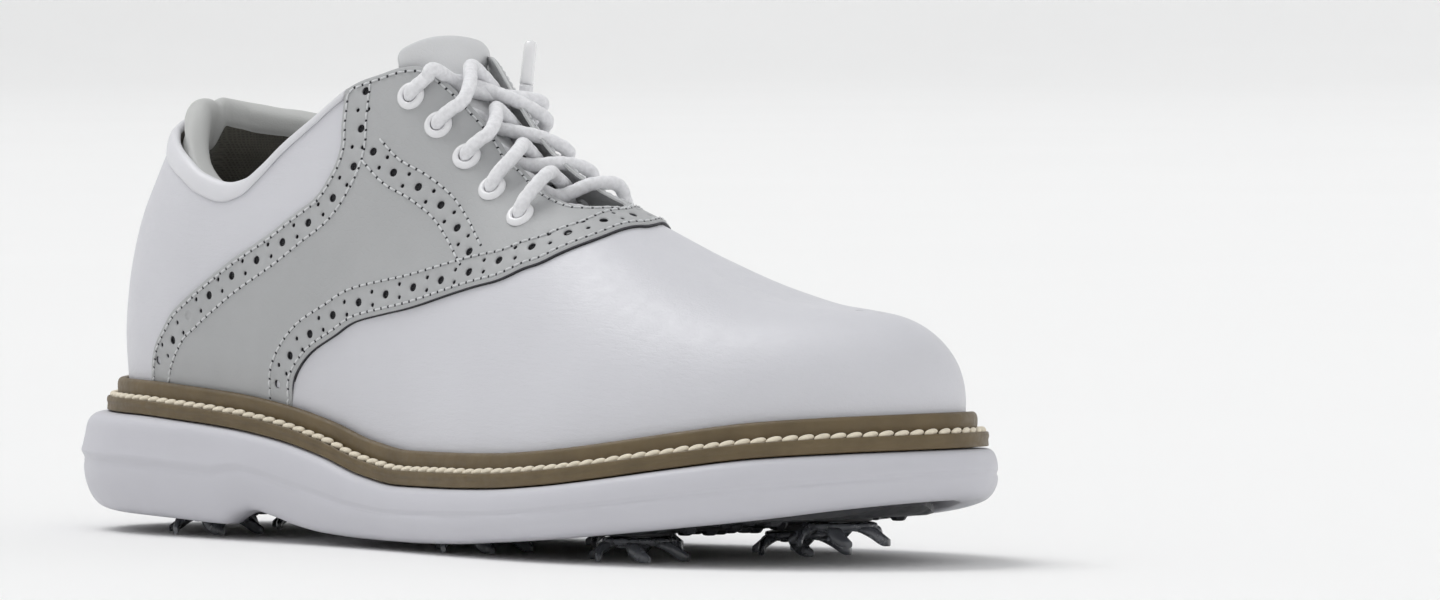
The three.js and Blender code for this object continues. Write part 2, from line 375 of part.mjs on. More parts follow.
// steel shank in a slot in the midsole's top
const shankZ = x => zTop(x) - 1.6;
const shankBar = (w, up, down, x0, x1) => loft(Array.from({ length: 8 }, (_, i) => { const x = x0 + (x1 - x0) * i / 7; return [[-w, down], [w, down], [w, up], [-w, up]].map(([y, z]) => new THREE.Vector3(x, -2 + y, shankZ(x) + z)); }));
midsole = midsole.subtract(solid(shankBar(7.6, 8, -0.3, 66, 150)));
const shank = shankBar(7, 1.2, 0.05, 67, 149);

// ---------------------------------------------------------------- cleats and their receptacles
const CLEATS = [['heel_lateral', 41, -18, 0], ['heel_medial', 43, 17, 0], ['ball_rear_lateral', 154, -25, 0], ['ball_rear_medial', 166, 17, 0], ['ball_front_lateral', 212, -25, 0], ['ball_front_medial', 220, 25, 0], ['toe', 252, 7, 4.2]];
const lathe = (profile, n) => { const g = new THREE.LatheGeometry(profile.map(p => new THREE.Vector2(p[0], p[1])), n); g.rotateX(Math.PI / 2); return g; };
const cutter = (r, z0, z1, x, y) => { const g = new THREE.CylinderGeometry(r, r, z1 - z0, 12); g.rotateX(Math.PI / 2); g.translate(x, y, (z0 + z1) / 2); return solid(g); };
const receptacles = [], cleats = [];
for (const [name, x, y, tip] of CLEATS) {
  const face = tip + CLEAT_DROP;        // underside of the receptacle
  midsole = midsole.subtract(cutter(9.2, -6, face + 2.9, x, y)).subtract(cutter(6.8, -6, face + 6.7, x, y));
  if (x > 90) soleFront = soleFront.subtract(cutter(9.0, -6, 30, x, y)); else soleHeel = soleHeel.subtract(cutter(9.0, -6, 30, x, y));
  const g = solid(lathe([[0, 6.2], [6.2, 6.2], [6.2, 2.4], [8.4, 1.7], [8.4, 0], [0, 0]].reverse(), 10)).subtract(cutter(BORE_R, -1, 4.8, 0, 0));
  receptacles.push([`receptacle_${name}`, geometryFrom(g), [x, y, face]]);
  // hub, stem and swept legs
  let c = solid(lathe([[0, -2.3], [CLEAT_R - 1.2, -2.3], [CLEAT_R, -1.5], [CLEAT_R, -GAP - 0.1], [STEM_R, -GAP - 0.1], [STEM_R, STEM_LENGTH], [0, STEM_LENGTH]], 9));
  for (let k = 0; k < CLEAT_LEGS; k++) {
    const a = k / CLEAT_LEGS * 2 * Math.PI, P = (r, w, z) => new THREE.Vector3(r * Math.cos(a + w), r * Math.sin(a + w), z);
    const sec = (r, w, half, z0, z1) => [P(r, w - half / r, z0), P(r, w + half / r, z0), P(r, w + half / r, z1), P(r, w - half / r, z1)];
    const leg = loft([sec(6.6, 0, 2.0, -2.2, -0.9), sec(10.6, 0.16, 1.9, -4.2, -1.6), sec(12.2, 0.31, 1.5, -CLEAT_DROP, -3.3), sec(CLEAT_LEG_R, 0.42, 1.2, -CLEAT_DROP, -4.6)]);
    c = c.add(solid(leg));
  }
  cleats.push([`cleat_${name}`, geometryFrom(c), [x, y, face]]);
}

// ---------------------------------------------------------------- lace
const eyeletProfile = [[EYELET_BORE, -1.6], [EYELET_BARREL, -1.6], [EYELET_BARREL, 0.35], [EYELET_FLANGE, 0.35], [EYELET_BORE, 1.0]];
const eyeletGeometry = new THREE.LatheGeometry([...eyeletProfile, eyeletProfile[0]].map(p => new THREE.Vector2(p[0], p[1])), 8);
const eye = (side, level) => eyelets.find(e => e.side === side && e.level === level);
const off = (e, d, toEdge) => {          // d above the skin at an eyelet, shifted towards the throat
  const t = new THREE.Vector3(0, -e.side, 0); t.addScaledVector(e.n, -t.dot(e.n)).normalize();
  return e.p.clone().addScaledVector(e.n, d).addScaledVector(t, toEdge);
};
const tongueZ = table(TONGUE.map(r => [r[0], r[1]]).reverse());
function crossing(side, level, upper) {  // from inside eyelet (side, level) up and over to below (-side, level - 1)
  const a = eye(side, level), b = eye(-side, level - 1), x = (a.p.x + b.p.x) / 2, edge = EYELETS[level][1] - 9, edgeB = EYELETS[level - 1][1] - 9;
  const mid = new THREE.Vector3(x, ridgeY(x), tongueZ(x) + (upper ? 8.2 : 3.2));
  const q1 = mid.clone().lerp(off(a, 3.6, edge + 3.6), 0.62).add(new THREE.Vector3(0, 0, 0.7));
  return [off(a, -1.0, 0), off(a, 1.6, 0.1), off(a, 2.9, 1.3), off(a, 3.8, 4.2), off(a, 4.1, edge + 2), q1, mid, off(b, -4.2, edgeB + 1.6), off(b, -4.4, 4.6), off(b, -3.9, 2.1), off(b, -3.0, 0.6)];
}
const way = [];

{
  const legA = [], legB = [];            // A starts at the lateral bottom eyelet, B at the medial one
  let side = -1; for (let level = 4; level > 0; level--) { legA.push(...crossing(side, level, side < 0)); side = -side; }
  const endA = side; side = 1; for (let level = 4; level > 0; level--) { legB.push(...crossing(side, level, side < 0)); side = -side; }
  const finish = (s) => { const e = eye(s, 0); return s < 0 ? [off(e, -1, 0), off(e, 1.6, 0.1), off(e, 2.9, 1.3), off(e, 3.3, 4.2), off(e, 3.2, 7)] : [off(e, -1, 0), off(e, 2, 0), off(e, 6, 0.6)]; };
  const e0 = eye(endA, 0), e1 = eye(side, 0);
  const tailA = [...finish(endA)], tailB = [...finish(side)];
  way.push(tailA, legA, legB, tailB, e0, e1);
}
// free ends lie over the tongue's top
const [tailA, legA, legB, tailB, topA, topB] = way;
const endOf = e => e.side < 0 ? [new THREE.Vector3(123.4, -10.5, 126.2), new THREE.Vector3(122.8, -6.2, 127.9)] : [off(e, 9, 1.4)];
const bottomL = eye(-1, 4), bottomR = eye(1, 4);
const bar = [off(bottomR, -3, 0.6), off(bottomR, -3.9, 2.1), off(bottomR, -4.2, 6), new THREE.Vector3(164.5, ridgeY(164), tongueZ(164.5) + 3.2), off(bottomL, -4.2, 6), off(bottomL, -3.9, 2.1), off(bottomL, -3, 0.6)];
const lacePoints = [...[...endOf(topB)].reverse(), ...[...tailB].reverse(), ...[...legB].reverse(), ...bar, ...legA, ...tailA, ...endOf(topA)];
// six-sided tube whose rings sit at the lace's own bends
const laceRings = lacePoints.map((p, i) => {
  const t = (i ? p.clone().sub(lacePoints[i - 1]).normalize() : new THREE.Vector3()).add(i < lacePoints.length - 1 ? lacePoints[i + 1].clone().sub(p).normalize() : new THREE.Vector3());
  return { p, t: t.normalize() };
});
let carried = new THREE.Vector3(0, 0, 1);
const lace = loft(laceRings.map(({ p, t }) => {
  carried = carried.clone().addScaledVector(t, -carried.dot(t)).normalize();
  const b = t.clone().cross(carried);
  return Array.from({ length: 6 }, (_, k) => p.clone().addScaledVector(carried, LACE_R * Math.cos(k * Math.PI / 3)).addScaledVector(b, LACE_R * Math.sin(k * Math.PI / 3)));
}));
const tipAt = u => {
  const n = lacePoints.length - 1, p = lacePoints[u * n].clone(), t = p.clone().sub(lacePoints[u ? n - 1 : 1]);
  const g = new THREE.CylinderGeometry(1.45, 1.6, 12, 8); g.translate(0, 6 + GAP, 0); g.applyQuaternion(aim(t.normalize())); g.translate(p.x, p.y, p.z); return g;
};

// ---------------------------------------------------------------- assembly
const looks = {
  white: [0xe4e4e6, 0.42, 0], saddle: [0xb9bcc0, 0.5, 0], tongue: [0xc4c6c9, 0.55, 0], pad: [0xb6b8ba, 0.85, 0], lining: [0x6d6d66, 0.9, 0],
  stiff: [0xc9c2b2, 0.8, 0], board: [0xb9a27c, 0.85, 0], foam: [0xdedfe4, 0.6, 0], sock: [0x8a8c8e, 0.85, 0], welt: [0x6f5f45, 0.6, 0], thread: [0xe6dcc4, 0.8, 0],
  plate: [0x2e2f32, 0.45, 0], cleat: [0x34363a, 0.3, 0], socket: [0x1f2022, 0.5, 0], steel: [0x9a9da0, 0.35, 1], eyelet: [0xeceded, 0.3, 0], lace: [0xf0f0f0, 0.85, 0], aglet: [0xf4f4f4, 0.25, 0],
};
const material = Object.fromEntries(Object.entries(looks).map(([k, [c, r, m]]) => [k, new THREE.MeshStandardMaterial({ color: c, roughness: r, metalness: m })]));
const group = new THREE.Group();
group.position.set(-CENTRE[0], -CENTRE[1], 0);
function put(name, geometry, look, at) {
  const mesh = new THREE.Mesh(geometry, material[look]); mesh.name = name; if (at) mesh.position.set(...at); group.add(mesh); return mesh;
}
put('vamp', geometryFrom(vamp), 'white');
put('saddle', geometryFrom(saddle), 'saddle');
put('quarter', geometryFrom(quarter), 'white');
put('heel_tab', tab, 'saddle');
put('collar_padding', padding, 'pad');
put('collar_binding', binding, 'white');
put('lining', geometryFrom(lining), 'lining');
put('heel_counter', geometryFrom(counter), 'stiff');
put('toe_puff', geometryFrom(puff), 'stiff');
put('tongue', tongue, 'tongue');
put('insole_board', board, 'board');
put('footbed_filler', filler, 'board');
put('sockliner', sockliner, 'sock');
put('shank', shank, 'steel');
put('welt', welt, 'welt');
put('welt_stitching', stitching, 'thread');
put('midsole', geometryFrom(midsole), 'foam');
put('outsole_forefoot', geometryFrom(soleFront), 'plate');
put('outsole_heel', geometryFrom(soleHeel), 'plate');
for (const [name, g, at] of receptacles) put(name, g, 'socket', at);
for (const [name, g, at] of cleats) put(name, g, 'cleat', at);
for (const e of eyelets) { const m = put(e.name, eyeletGeometry, 'eyelet', [e.p.x, e.p.y, e.p.z]); m.quaternion.copy(aim(e.n)); }
put('lace', lace, 'lace');
put('aglet_lateral', tipAt(0), 'aglet');
put('aglet_medial', tipAt(1), 'aglet');

export default group;
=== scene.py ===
import bpy, bmesh, math
import numpy as np
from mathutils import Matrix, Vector
from mathutils.geometry import delaunay_2d_cdt
from mathutils.kdtree import KDTree


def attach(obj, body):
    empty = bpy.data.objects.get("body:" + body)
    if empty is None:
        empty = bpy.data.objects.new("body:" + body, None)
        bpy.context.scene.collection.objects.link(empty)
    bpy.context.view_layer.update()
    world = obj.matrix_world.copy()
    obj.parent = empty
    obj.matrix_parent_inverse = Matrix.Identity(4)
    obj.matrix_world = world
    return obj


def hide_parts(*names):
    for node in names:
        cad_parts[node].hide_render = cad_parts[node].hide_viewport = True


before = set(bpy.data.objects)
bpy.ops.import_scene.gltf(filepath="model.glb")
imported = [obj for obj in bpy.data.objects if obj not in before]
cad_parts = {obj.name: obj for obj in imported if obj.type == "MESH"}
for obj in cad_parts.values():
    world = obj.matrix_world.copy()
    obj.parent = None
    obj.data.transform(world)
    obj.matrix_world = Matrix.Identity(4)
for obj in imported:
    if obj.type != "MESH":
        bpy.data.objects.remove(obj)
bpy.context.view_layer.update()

CEN = np.array([139.8, -0.2, 0.0])
rng = np.random.default_rng(7)

# ------------------------------------------------------------------ curves (millimetres)
def table(rows):
    X = np.array([r[0] for r in rows], float); Y = np.array([r[1] for r in rows], float)
    h = np.diff(X); d = np.diff(Y) / h; m = np.zeros(len(X))
    for i in range(1, len(X) - 1):
        if d[i - 1] * d[i] > 0:
            w1 = 2 * h[i] + h[i - 1]; w2 = h[i] + 2 * h[i - 1]
            m[i] = (w1 + w2) / (w1 / d[i - 1] + w2 / d[i])
    m[0] = d[0]; m[-1] = d[-1]
    def f(x):
        x = np.clip(np.asarray(x, float), X[0], X[-1])
        i = np.clip(np.searchsorted(X, x, side="right") - 1, 0, len(X) - 2)
        t = (x - X[i]) / h[i]
        return (1 + 2 * t) * (1 - t) ** 2 * Y[i] + t * (1 - t) ** 2 * h[i] * m[i] + t * t * (3 - 2 * t) * Y[i + 1] + t * t * (t - 1) * h[i] * m[i + 1]
    return f
def smooth(t):
    t = np.clip(t, 0, 1); return t * t * (3 - 2 * t)
def unit(v):
    v = np.asarray(v, float); return v / np.maximum(np.linalg.norm(v, axis=-1, keepdims=True), 1e-12)
def spline(P, n, closed=False):
    """n points on a Catmull-Rom curve through P, evenly spaced by chord parameter"""
    P = np.asarray(P, float); k = len(P)
    if closed: Q = np.vstack([P[-1], P, P[0], P[1]]); seg = k
    else: Q = np.vstack([2 * P[0] - P[1], P, 2 * P[-1] - P[-2]]); seg = k - 1
    u = np.linspace(0, seg, n, endpoint=not closed); i = np.minimum(u.astype(int), seg - 1); t = (u - i)[:, None]
    p0, p1, p2, p3 = Q[i], Q[i + 1], Q[i + 2], Q[i + 3]
    return 0.5 * (2 * p1 + (p2 - p0) * t + (2 * p0 - 5 * p1 + 4 * p2 - p3) * t * t + (3 * p1 - p0 - 3 * p2 + p3) * t ** 3)
def even(P, d, closed=False, key=None, ends=True):
    """points of polyline P at spacing near d, measured on key(P)"""
    P = np.asarray(P, float)
    if closed: P = np.vstack([P, P[:1]])
    K = P if key is None else key(P)
    L = np.concatenate([[0], np.cumsum(np.linalg.norm(np.diff(K, axis=0), axis=1))])
    n = max(int(round(L[-1] / d)), 1)
    q = np.linspace(0, L[-1], n + 1)
    if closed: q = q[:-1]
    return np.stack([np.interp(q, L, P[:, c]) for c in range(P.shape[1])], -1)

LAT = [(0,0.5),(0.8,-6.5),(3.2,-12.8),(7,-18.5),(12.5,-23.8),(25,-29.7),(45,-32.7),(70,-33.5),(95,-33.7),(120,-35.2),(145,-38.7),(168,-42.3),(190,-44.4),(210,-43.8),(230,-40),(247,-33.2),(261,-24),(272,-13.5),(279.5,-3),(283,5),(284,11.5)]
MED = [(0,0.5),(0.8,7),(3.2,13),(7,18.3),(12.5,23),(28,29),(50,31),(75,29.5),(100,27.2),(125,25.8),(148,27.8),(168,32.2),(188,38),(208,42.4),(228,44),(246,42.6),(261,38.2),(272,31.8),(279.5,23.5),(283,17),(284,11.5)]
def half(pts):
    p = np.array(pts, float)
    a = np.array([p[1][0], 2 * p[0][1] - p[1][1]]); b = np.array([p[-2][0], 2 * p[-1][1] - p[-2][1]])
    q = np.vstack([a, p, b]); out = []
    for i in range(1, len(p)):
        p0, p1, p2, p3 = q[i - 1], q[i], q[i + 1], q[i + 2]
        for j in range(24):
            t = j / 24
            out.append(0.5 * (2 * p1 + (p2 - p0) * t + (2 * p0 - 5 * p1 + 4 * p2 - p3) * t * t + (3 * p1 - p0 - 3 * p2 + p3) * t ** 3))
    out.append(p[-1]); out = np.array(out)
    return out, np.concatenate([[0], np.cumsum(np.linalg.norm(np.diff(out, axis=0), axis=1))])
HL, HM = half(LAT), half(MED)
def feather(s, side):
    h, a = HL if side < 0 else HM
    q = np.clip(s, 0, 1) * a[-1]
    return np.interp(q, a, h[:, 0]), np.interp(q, a, h[:, 1])
zfeather = table([(0,40.5),(30,40.3),(50,39.4),(70,38),(90,35.4),(107,32),(125,27.5),(142,25.6),(162,25.8),(181,26.4),(201,28),(221,30.6),(240,33.6),(257,36.2),(273,37.6),(284,38.3)])
ridge_y = table([(30,0),(100,-2.5),(150,-3),(200,-1.5),(240,3),(262,9)])
ridge_z = table([(30,196),(60,192),(85,182),(100,166),(110,149),(118,136.5),(125,128),(132,120.5),(140,112.5),(150,104),(160,97.5),(170,92.6),(185,86.2),(200,79),(220,70.8),(237,66.2),(250,64.6),(262,63.4)])
exp_p = table([(30,2),(150,2.0),(200,2.15),(235,2.3),(262,2.35)])
exp_q = table([(30,1.5),(150,1.5),(185,1.6),(215,1.9),(240,2.2),(262,2.4)])
bulge = table([(30,0.02),(120,0.03),(150,0.045),(200,0.03),(262,0.015)])
HN = [0,12,24,34,44,54,64,76,88,100]
wt = lambda v: table(list(zip(HN, v)))
w_heel, w_sl, w_sm = wt([0,-0.6,0.2,1.8,4.3,8.2,12.2,15.5,18,20]), wt([0,-1.8,-2.6,-2.0,-0.3,2.2,5.0,9.0,13,17]), wt([0,-2.4,-3.6,-3.4,-1.8,0.8,4.0,8.0,12,16])
w_il, w_im = wt([0,-1.2,-1.6,-1.0,0.4,2.4,4.8,8.4,12.6,17.5]), wt([0,-3.6,-5.6,-6.0,-5.0,-2.8,0.4,4.2,8.6,13.5])

def skin_side(s, tau, side):
    fx, fy = feather(s, side); xr = 30 + fx / 284 * 232; yr = ridge_y(xr); z0 = zfeather(fx); top = ridge_z(xr)
    h = tau * (top - z0); L = np.hypot(xr - fx, yr - fy)
    a = smooth((fx - 4) / 46); b = smooth((fx - 60) / 50)
    ds = w_sl(h) if side < 0 else w_sm(h); di = w_il(h) if side < 0 else w_im(h)
    g1 = ((w_heel(h) * (1 - a) + ds * a) * (1 - b) + di * b) / L
    k = np.clip((h - 100) / np.maximum(top - z0 - 100, 1e-3), 0, 1)
    g1 = np.where(h > 100, g1 + (1 - g1) * (1 - np.sqrt(np.maximum(1 - k ** 1.6, 0))), g1)
    g2 = 1 - np.maximum(1 - np.clip(tau, 0, 1) ** exp_q(xr), 0) ** (1 / exp_p(xr)) - bulge(xr) * np.sin(np.pi * np.minimum(tau, 1)) * (1 - 0.4 * tau)
    w = smooth((xr - 100) / 50); g = g1 * (1 - w) + g2 * w
    return np.stack([fx + (xr - fx) * g, fy + (yr - fy) * g, z0 + h], -1)
M_S = np.linspace(0, 1, 801); M_X = np.maximum.accumulate(feather(M_S, 1)[0])
def X(sv):
    """the outer face of the leather at (s, v): s heel to toe, v 0 outer feather line, 1 ridge, 2 inner feather line. Below the feather line it hangs straight down"""
    sv = np.asarray(sv, float); s = sv[..., 0].copy(); v = sv[..., 1].copy()
    f = (s < 0) | (s > 1); s = np.where(s < 0, -s, np.where(s > 1, 2 - s, s)); v = np.where(f, 2 - v, v)
    drop = np.where(v < 0, v, np.where(v > 2, 2 - v, 0.0)) * 60
    vc = np.clip(v, 0, 2); tau = np.sin(np.pi * vc / 2)
    sm = s + (np.interp(feather(s, -1)[0], M_X, M_S) - s) * smooth((1.25 - vc) / 0.25)      # the two sides meet point for point on the ridge
    out = np.where((vc <= 1)[..., None], skin_side(s, tau, -1), skin_side(sm, tau, 1))
    out[..., 2] += drop
    return out
def jac(sv):
    e = 0.0025; sv = np.asarray(sv, float); w = 0.0025 + 0.012 * np.exp(-((sv[..., 1:] - 1) / 0.02) ** 2); W = np.concatenate([0 * w, w], -1)
    a = (X(sv + [e, 0]) - X(sv - [e, 0])) / (2 * e); b = (X(sv + W) - X(sv - W)) / (2 * w)
    return a, b
def normal(sv):
    a, b = jac(sv); return unit(np.cross(a, b))
def off(sv, d):
    return X(sv) + normal(sv) * np.asarray(d, float)[..., None]
def step(sv, D):
    """the change of (s, v) that moves a point on the skin by D"""
    a, b = jac(sv); aa = (a * a).sum(-1); ab = (a * b).sum(-1); bb = (b * b).sum(-1); p = (a * D).sum(-1); q = (b * D).sum(-1)
    det = np.maximum(aa * bb - ab * ab, 1e-9)
    return np.stack([(bb * p - ab * q) / det, (aa * q - ab * p) / det], -1)
def V(tau): return np.arcsin(np.clip(tau, -1, 1)) * 2 / np.pi
def lat(pts): return np.array([(s, V(t)) for s, t in pts])
def med(P): return np.stack([P[..., 0], 2 - P[..., 1]], -1)
def beside(path, d, closed=False):
    """a parallel path d mm to the left of the direction of travel, seen from outside"""
    P = np.asarray(path, float)
    n = max(int(abs(d) / 1.5), 1)
    for _ in range(n):
        K = X(P); N = normal(P)
        T = unit(np.roll(K, -1, 0) - np.roll(K, 1, 0)) if closed else unit(np.gradient(K, axis=0))
        P = P + step(P, np.cross(N, T) * (d / n))
    return P
def near(p, lo=(0.25, 0.3), hi=(0.75, 1.7)):
    """(s, v) of the skin point nearest to p"""
    lo, hi = np.array(lo, float), np.array(hi, float)
    for _ in range(7):
        g = np.stack(np.meshgrid(np.linspace(lo[0], hi[0], 31), np.linspace(lo[1], hi[1], 61), indexing="ij"), -1)
        d = np.linalg.norm(X(g) - p, axis=-1); i = np.unravel_index(d.argmin(), d.shape); best = g[i]; w = (hi - lo) / 10
        lo, hi = best - w, best + w
    return best

# ------------------------------------------------------------------ meshes
def put(name, verts, faces, mats, slot=None, body="shoe", replaces=(), midx=None, sharp=None, weld=0.0):
    me = bpy.data.meshes.new(name)
    me.from_pydata(((np.asarray(verts, float) - CEN) / 1000).tolist(), [], [list(map(int, f)) for f in faces])
    for m in (mats if isinstance(mats, (list, tuple)) else [mats]): me.materials.append(m)
    if midx is not None: me.polygons.foreach_set("material_index", np.asarray(midx, np.int32))
    bm = bmesh.new(); bm.from_mesh(me)
    if weld: bmesh.ops.remove_doubles(bm, verts=bm.verts, dist=weld / 1000)
    bmesh.ops.dissolve_degenerate(bm, dist=1e-7, edges=bm.edges)
    bmesh.ops.recalc_face_normals(bm, faces=bm.faces); bm.to_mesh(me); bm.free()
    me.polygons.foreach_set("use_smooth", [True] * len(me.polygons))
    if sharp: me.set_sharp_from_angle(angle=math.radians(sharp))
    me.update()
    ob = bpy.data.objects.new(name, me); bpy.context.scene.collection.objects.link(ob)
    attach(ob, body)
    if replaces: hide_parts(*replaces)
    return ob
class Bag:
    """several closed shapes gathered into one piece"""
    def __init__(s): s.v, s.f, s.m, s.n = [], [], [], 0
    def add(s, v, f, m=0):
        v = np.asarray(v, float).reshape(-1, 3); f = np.asarray(f) if not isinstance(f, list) else f
        s.v.append(v); s.f += [[int(i) + s.n for i in q] for q in f]; s.m += [m] * len(f); s.n += len(v)
    def put(s, name, mats, **k):
        return put(name, np.vstack(s.v), s.f, mats, midx=s.m if isinstance(mats, (list, tuple)) else None, **k)
def grid_faces(m, n, wrap_m=False, wrap_n=False):
    i = np.arange(m if wrap_m else m - 1)[:, None]; j = np.arange(n if wrap_n else n - 1)[None]
    i2 = (i + 1) % m; j2 = (j + 1) % n
    f = np.stack([i * n + j, i2 * n + j, i2 * n + j2, i * n + j2], -1)
    return f.reshape(-1, 4).tolist()
def loft(rings, cap=True, closed=False):
    """(m, n, 3) rings of n points joined along m, ends closed with a rounded fan"""
    R = np.asarray(rings, float); m, n = R.shape[:2]
    f = grid_faces(m, n, closed, True); v = R.reshape(-1, 3)
    if cap and not closed:
        v = np.vstack([v, R[0].mean(0), R[-1].mean(0)]); a, b = m * n, m * n + 1
        f += [[a, (i + 1) % n, i] for i in range(n)] + [[b, (m - 1) * n + i, (m - 1) * n + (i + 1) % n] for i in range(n)]
    return v, f
def frames(P, up=(0, 0, 1), closed=False):
    P = np.asarray(P, float); T = unit(np.roll(P, -1, 0) - np.roll(P, 1, 0)) if closed else unit(np.gradient(P, axis=0))
    c = np.array(up, float); U = []
    for t in T:
        c = c - t * (c @ t); n = np.linalg.norm(c); c = c / n if n > 1e-6 else np.array([1.0, 0, 0]); U.append(c)
    U = np.array(U); return T, U, np.cross(T, U)
def tube(P, r, n=12, up=(0, 0, 1), closed=False, flat=1.0):
    T, U, B = frames(P, up, closed); a = np.arange(n) / n * 2 * np.pi; r = np.broadcast_to(r, (len(P),)) if np.ndim(r) < 2 else r
    rr = r[:, None] if np.ndim(r) < 2 else r
    R = P[:, None] + rr[..., None] * (U[:, None] * (np.cos(a) * flat)[None, :, None] + B[:, None] * np.sin(a)[None, :, None])
    return R
def inpoly(P, poly):
    x, y = P[:, 0], P[:, 1]; a = poly; b = np.roll(poly, -1, 0); ins = np.zeros(len(P), bool)
    for (x1, y1), (x2, y2) in zip(a, b):
        if y1 == y2: continue
        c = ((y1 > y) != (y2 > y)) & (x < (x2 - x1) * (y - y1) / (y2 - y1) + x1); ins ^= c
    return ins
S_TAB = np.linspace(-0.45, 1.0, 60)
L_TAB = np.array([np.linalg.norm(X(np.array([s, 0.36])) - X(np.array([s, 0.24]))) / 0.12 for s in S_TAB])
def dom(sv):
    sv = np.asarray(sv, float); return np.stack([sv[..., 0] * 300, sv[..., 1] * np.interp(sv[..., 0], S_TAB, L_TAB)], -1)
def undom(q):
    s = q[..., 0] / 300; return np.stack([s, q[..., 1] / np.interp(s, S_TAB, L_TAB)], -1)
def panel(name, outer, mats, holes=(), h=2.4, top=0.0, thick=1.4, edge=0.55, weld_toe=False, grow=0.0, **k):
    """a cut piece of leather lying on the last: outer is its outline in (s, v), holes a list of (centre, radius).
    Cut edges are slightly rounded, and sides and the flesh side are closed"""
    outer = np.asarray(outer, float); free = np.ones(len(outer), bool)
    if weld_toe: free = outer[:, 0] < 0.99999
    K = X(outer); N = normal(outer); T = unit(np.roll(K, -1, 0) - np.roll(K, 1, 0))
    area = 0.5 * np.sum(dom(outer)[:, 0] * np.roll(dom(outer)[:, 1], -1) - np.roll(dom(outer)[:, 0], -1) * dom(outer)[:, 1])
    B = np.cross(N, T) * (1 if area > 0 else -1)
    if grow: outer = outer - step(outer, B * grow)
    pts, lift, fixed = [outer], [np.where(free, -edge * 0.7, 0.0)], []
    n0 = len(outer); cons = [(i, (i + 1) % n0) for i in range(n0)]
    for e, l in ((edge * 0.35, -edge * 0.24), (edge, 0.0)):
        q = outer + step(outer, B * e); ok = free & np.roll(free, 1) & np.roll(free, -1)
        q = q[ok]; keep = inpoly(dom(q), dom(outer)); pts.append(q[keep]); lift.append(np.full(keep.sum(), l))
    cur = sum(map(len, pts)); ring_ids = []
    for c, r in holes:
        c = np.asarray(c, float); nn = 14 if r > 0.8 else 9; a = np.arange(nn) / nn * 2 * np.pi
        A, Bv = jac(c); e1 = unit(A); e2 = unit(np.cross(unit(np.cross(A, Bv)), e1))
        for kk, (rr, l) in enumerate(((r, -0.34), (r + 0.16, -0.12), (r + 0.42, 0.0))):
            D = (np.cos(a)[:, None] * e1 + np.sin(a)[:, None] * e2) * rr
            q = c + step(np.broadcast_to(c, (nn, 2)), D); pts.append(q); lift.append(np.full(nn, l))
            if kk == 0: ring_ids.append(set(range(cur, cur + nn))); cons += [(cur + i, cur + (i + 1) % nn) for i in range(nn)]
            cur += nn
    D0 = dom(outer); lo, hi = D0.min(0), D0.max(0)
    gx = np.arange(lo[0], hi[0], h); gy = np.arange(lo[1], hi[1], h * 0.866)
    G = np.stack(np.meshgrid(gx, gy, indexing="ij"), -1); G[:, 1::2, 0] += h / 2; G = G.reshape(-1, 2)
    G = G[inpoly(G, D0)]
    P3 = X(np.vstack(pts)); kd = KDTree(len(P3))
    for i, p in enumerate(P3): kd.insert(p, i)
    kd.balance(); gsv = undom(G); g3 = X(gsv)
    keep = np.array([kd.find(p)[2] > h * 0.42 for p in g3]); gsv = gsv[keep]
    sv = np.vstack(pts + [gsv]); lift = np.concatenate(lift + [np.zeros(len(gsv))])
    Q = dom(sv)
    vo, eo, fo, ov, oe, of_ = delaunay_2d_cdt([Vector(q) for q in Q], cons, [], 0, 1e-6)
    back = [o[0] if o else -1 for o in ov]
    tri = np.array([[back[i] for i in f] for f in fo if len(f) == 3 and all(back[i] >= 0 for i in f)])
    cen = Q[tri].mean(1); ok = inpoly(cen, D0)
    for ids in ring_ids: ok &= ~np.isin(tri, list(ids)).all(1)
    tri = tri[ok]
    used = np.unique(tri); remap = -np.ones(len(sv), int); remap[used] = np.arange(len(used)); tri = remap[tri]; sv = sv[used]; lift = lift[used]
    if weld_toe:                       # the toe seam of the two halves of the map is one line of points
        toe = np.where(sv[:, 0] > 0.99999)[0]; key = {}; m = np.arange(len(sv))
        for i in toe:
            kk = round(abs(sv[i, 1] - 1), 5)
            if kk in key: m[i] = key[kk]
            else: key[kk] = i
        tri = m[tri]; tri = tri[(tri[:, 0] != tri[:, 1]) & (tri[:, 1] != tri[:, 2]) & (tri[:, 0] != tri[:, 2])]
        used = np.unique(tri); remap = -np.ones(len(sv), int); remap[used] = np.arange(len(used)); tri = remap[tri]; sv = sv[used]; lift = lift[used]
    if callable(top): top = top(sv)
    N = normal(sv); base = X(sv); a = base + N * (top + lift)[:, None]; b = base + N * (np.broadcast_to(top, (len(sv),)) - thick)[:, None]
    n = len(sv); E = {}
    for t in tri:
        for i in range(3):
            p, q = int(t[i]), int(t[(i + 1) % 3])
            if (q, p) in E: del E[(q, p)]
            else: E[(p, q)] = 1
    faces = tri.tolist() + [[t[2] + n, t[1] + n, t[0] + n] for t in tri.tolist()]
    midx = [0] * len(tri) + [1] * len(tri)
    for p, q in E: faces.append([q, p, p + n, q + n]); midx.append(1)
    return put(name, np.vstack([a, b]), faces, mats, midx=midx, **k)

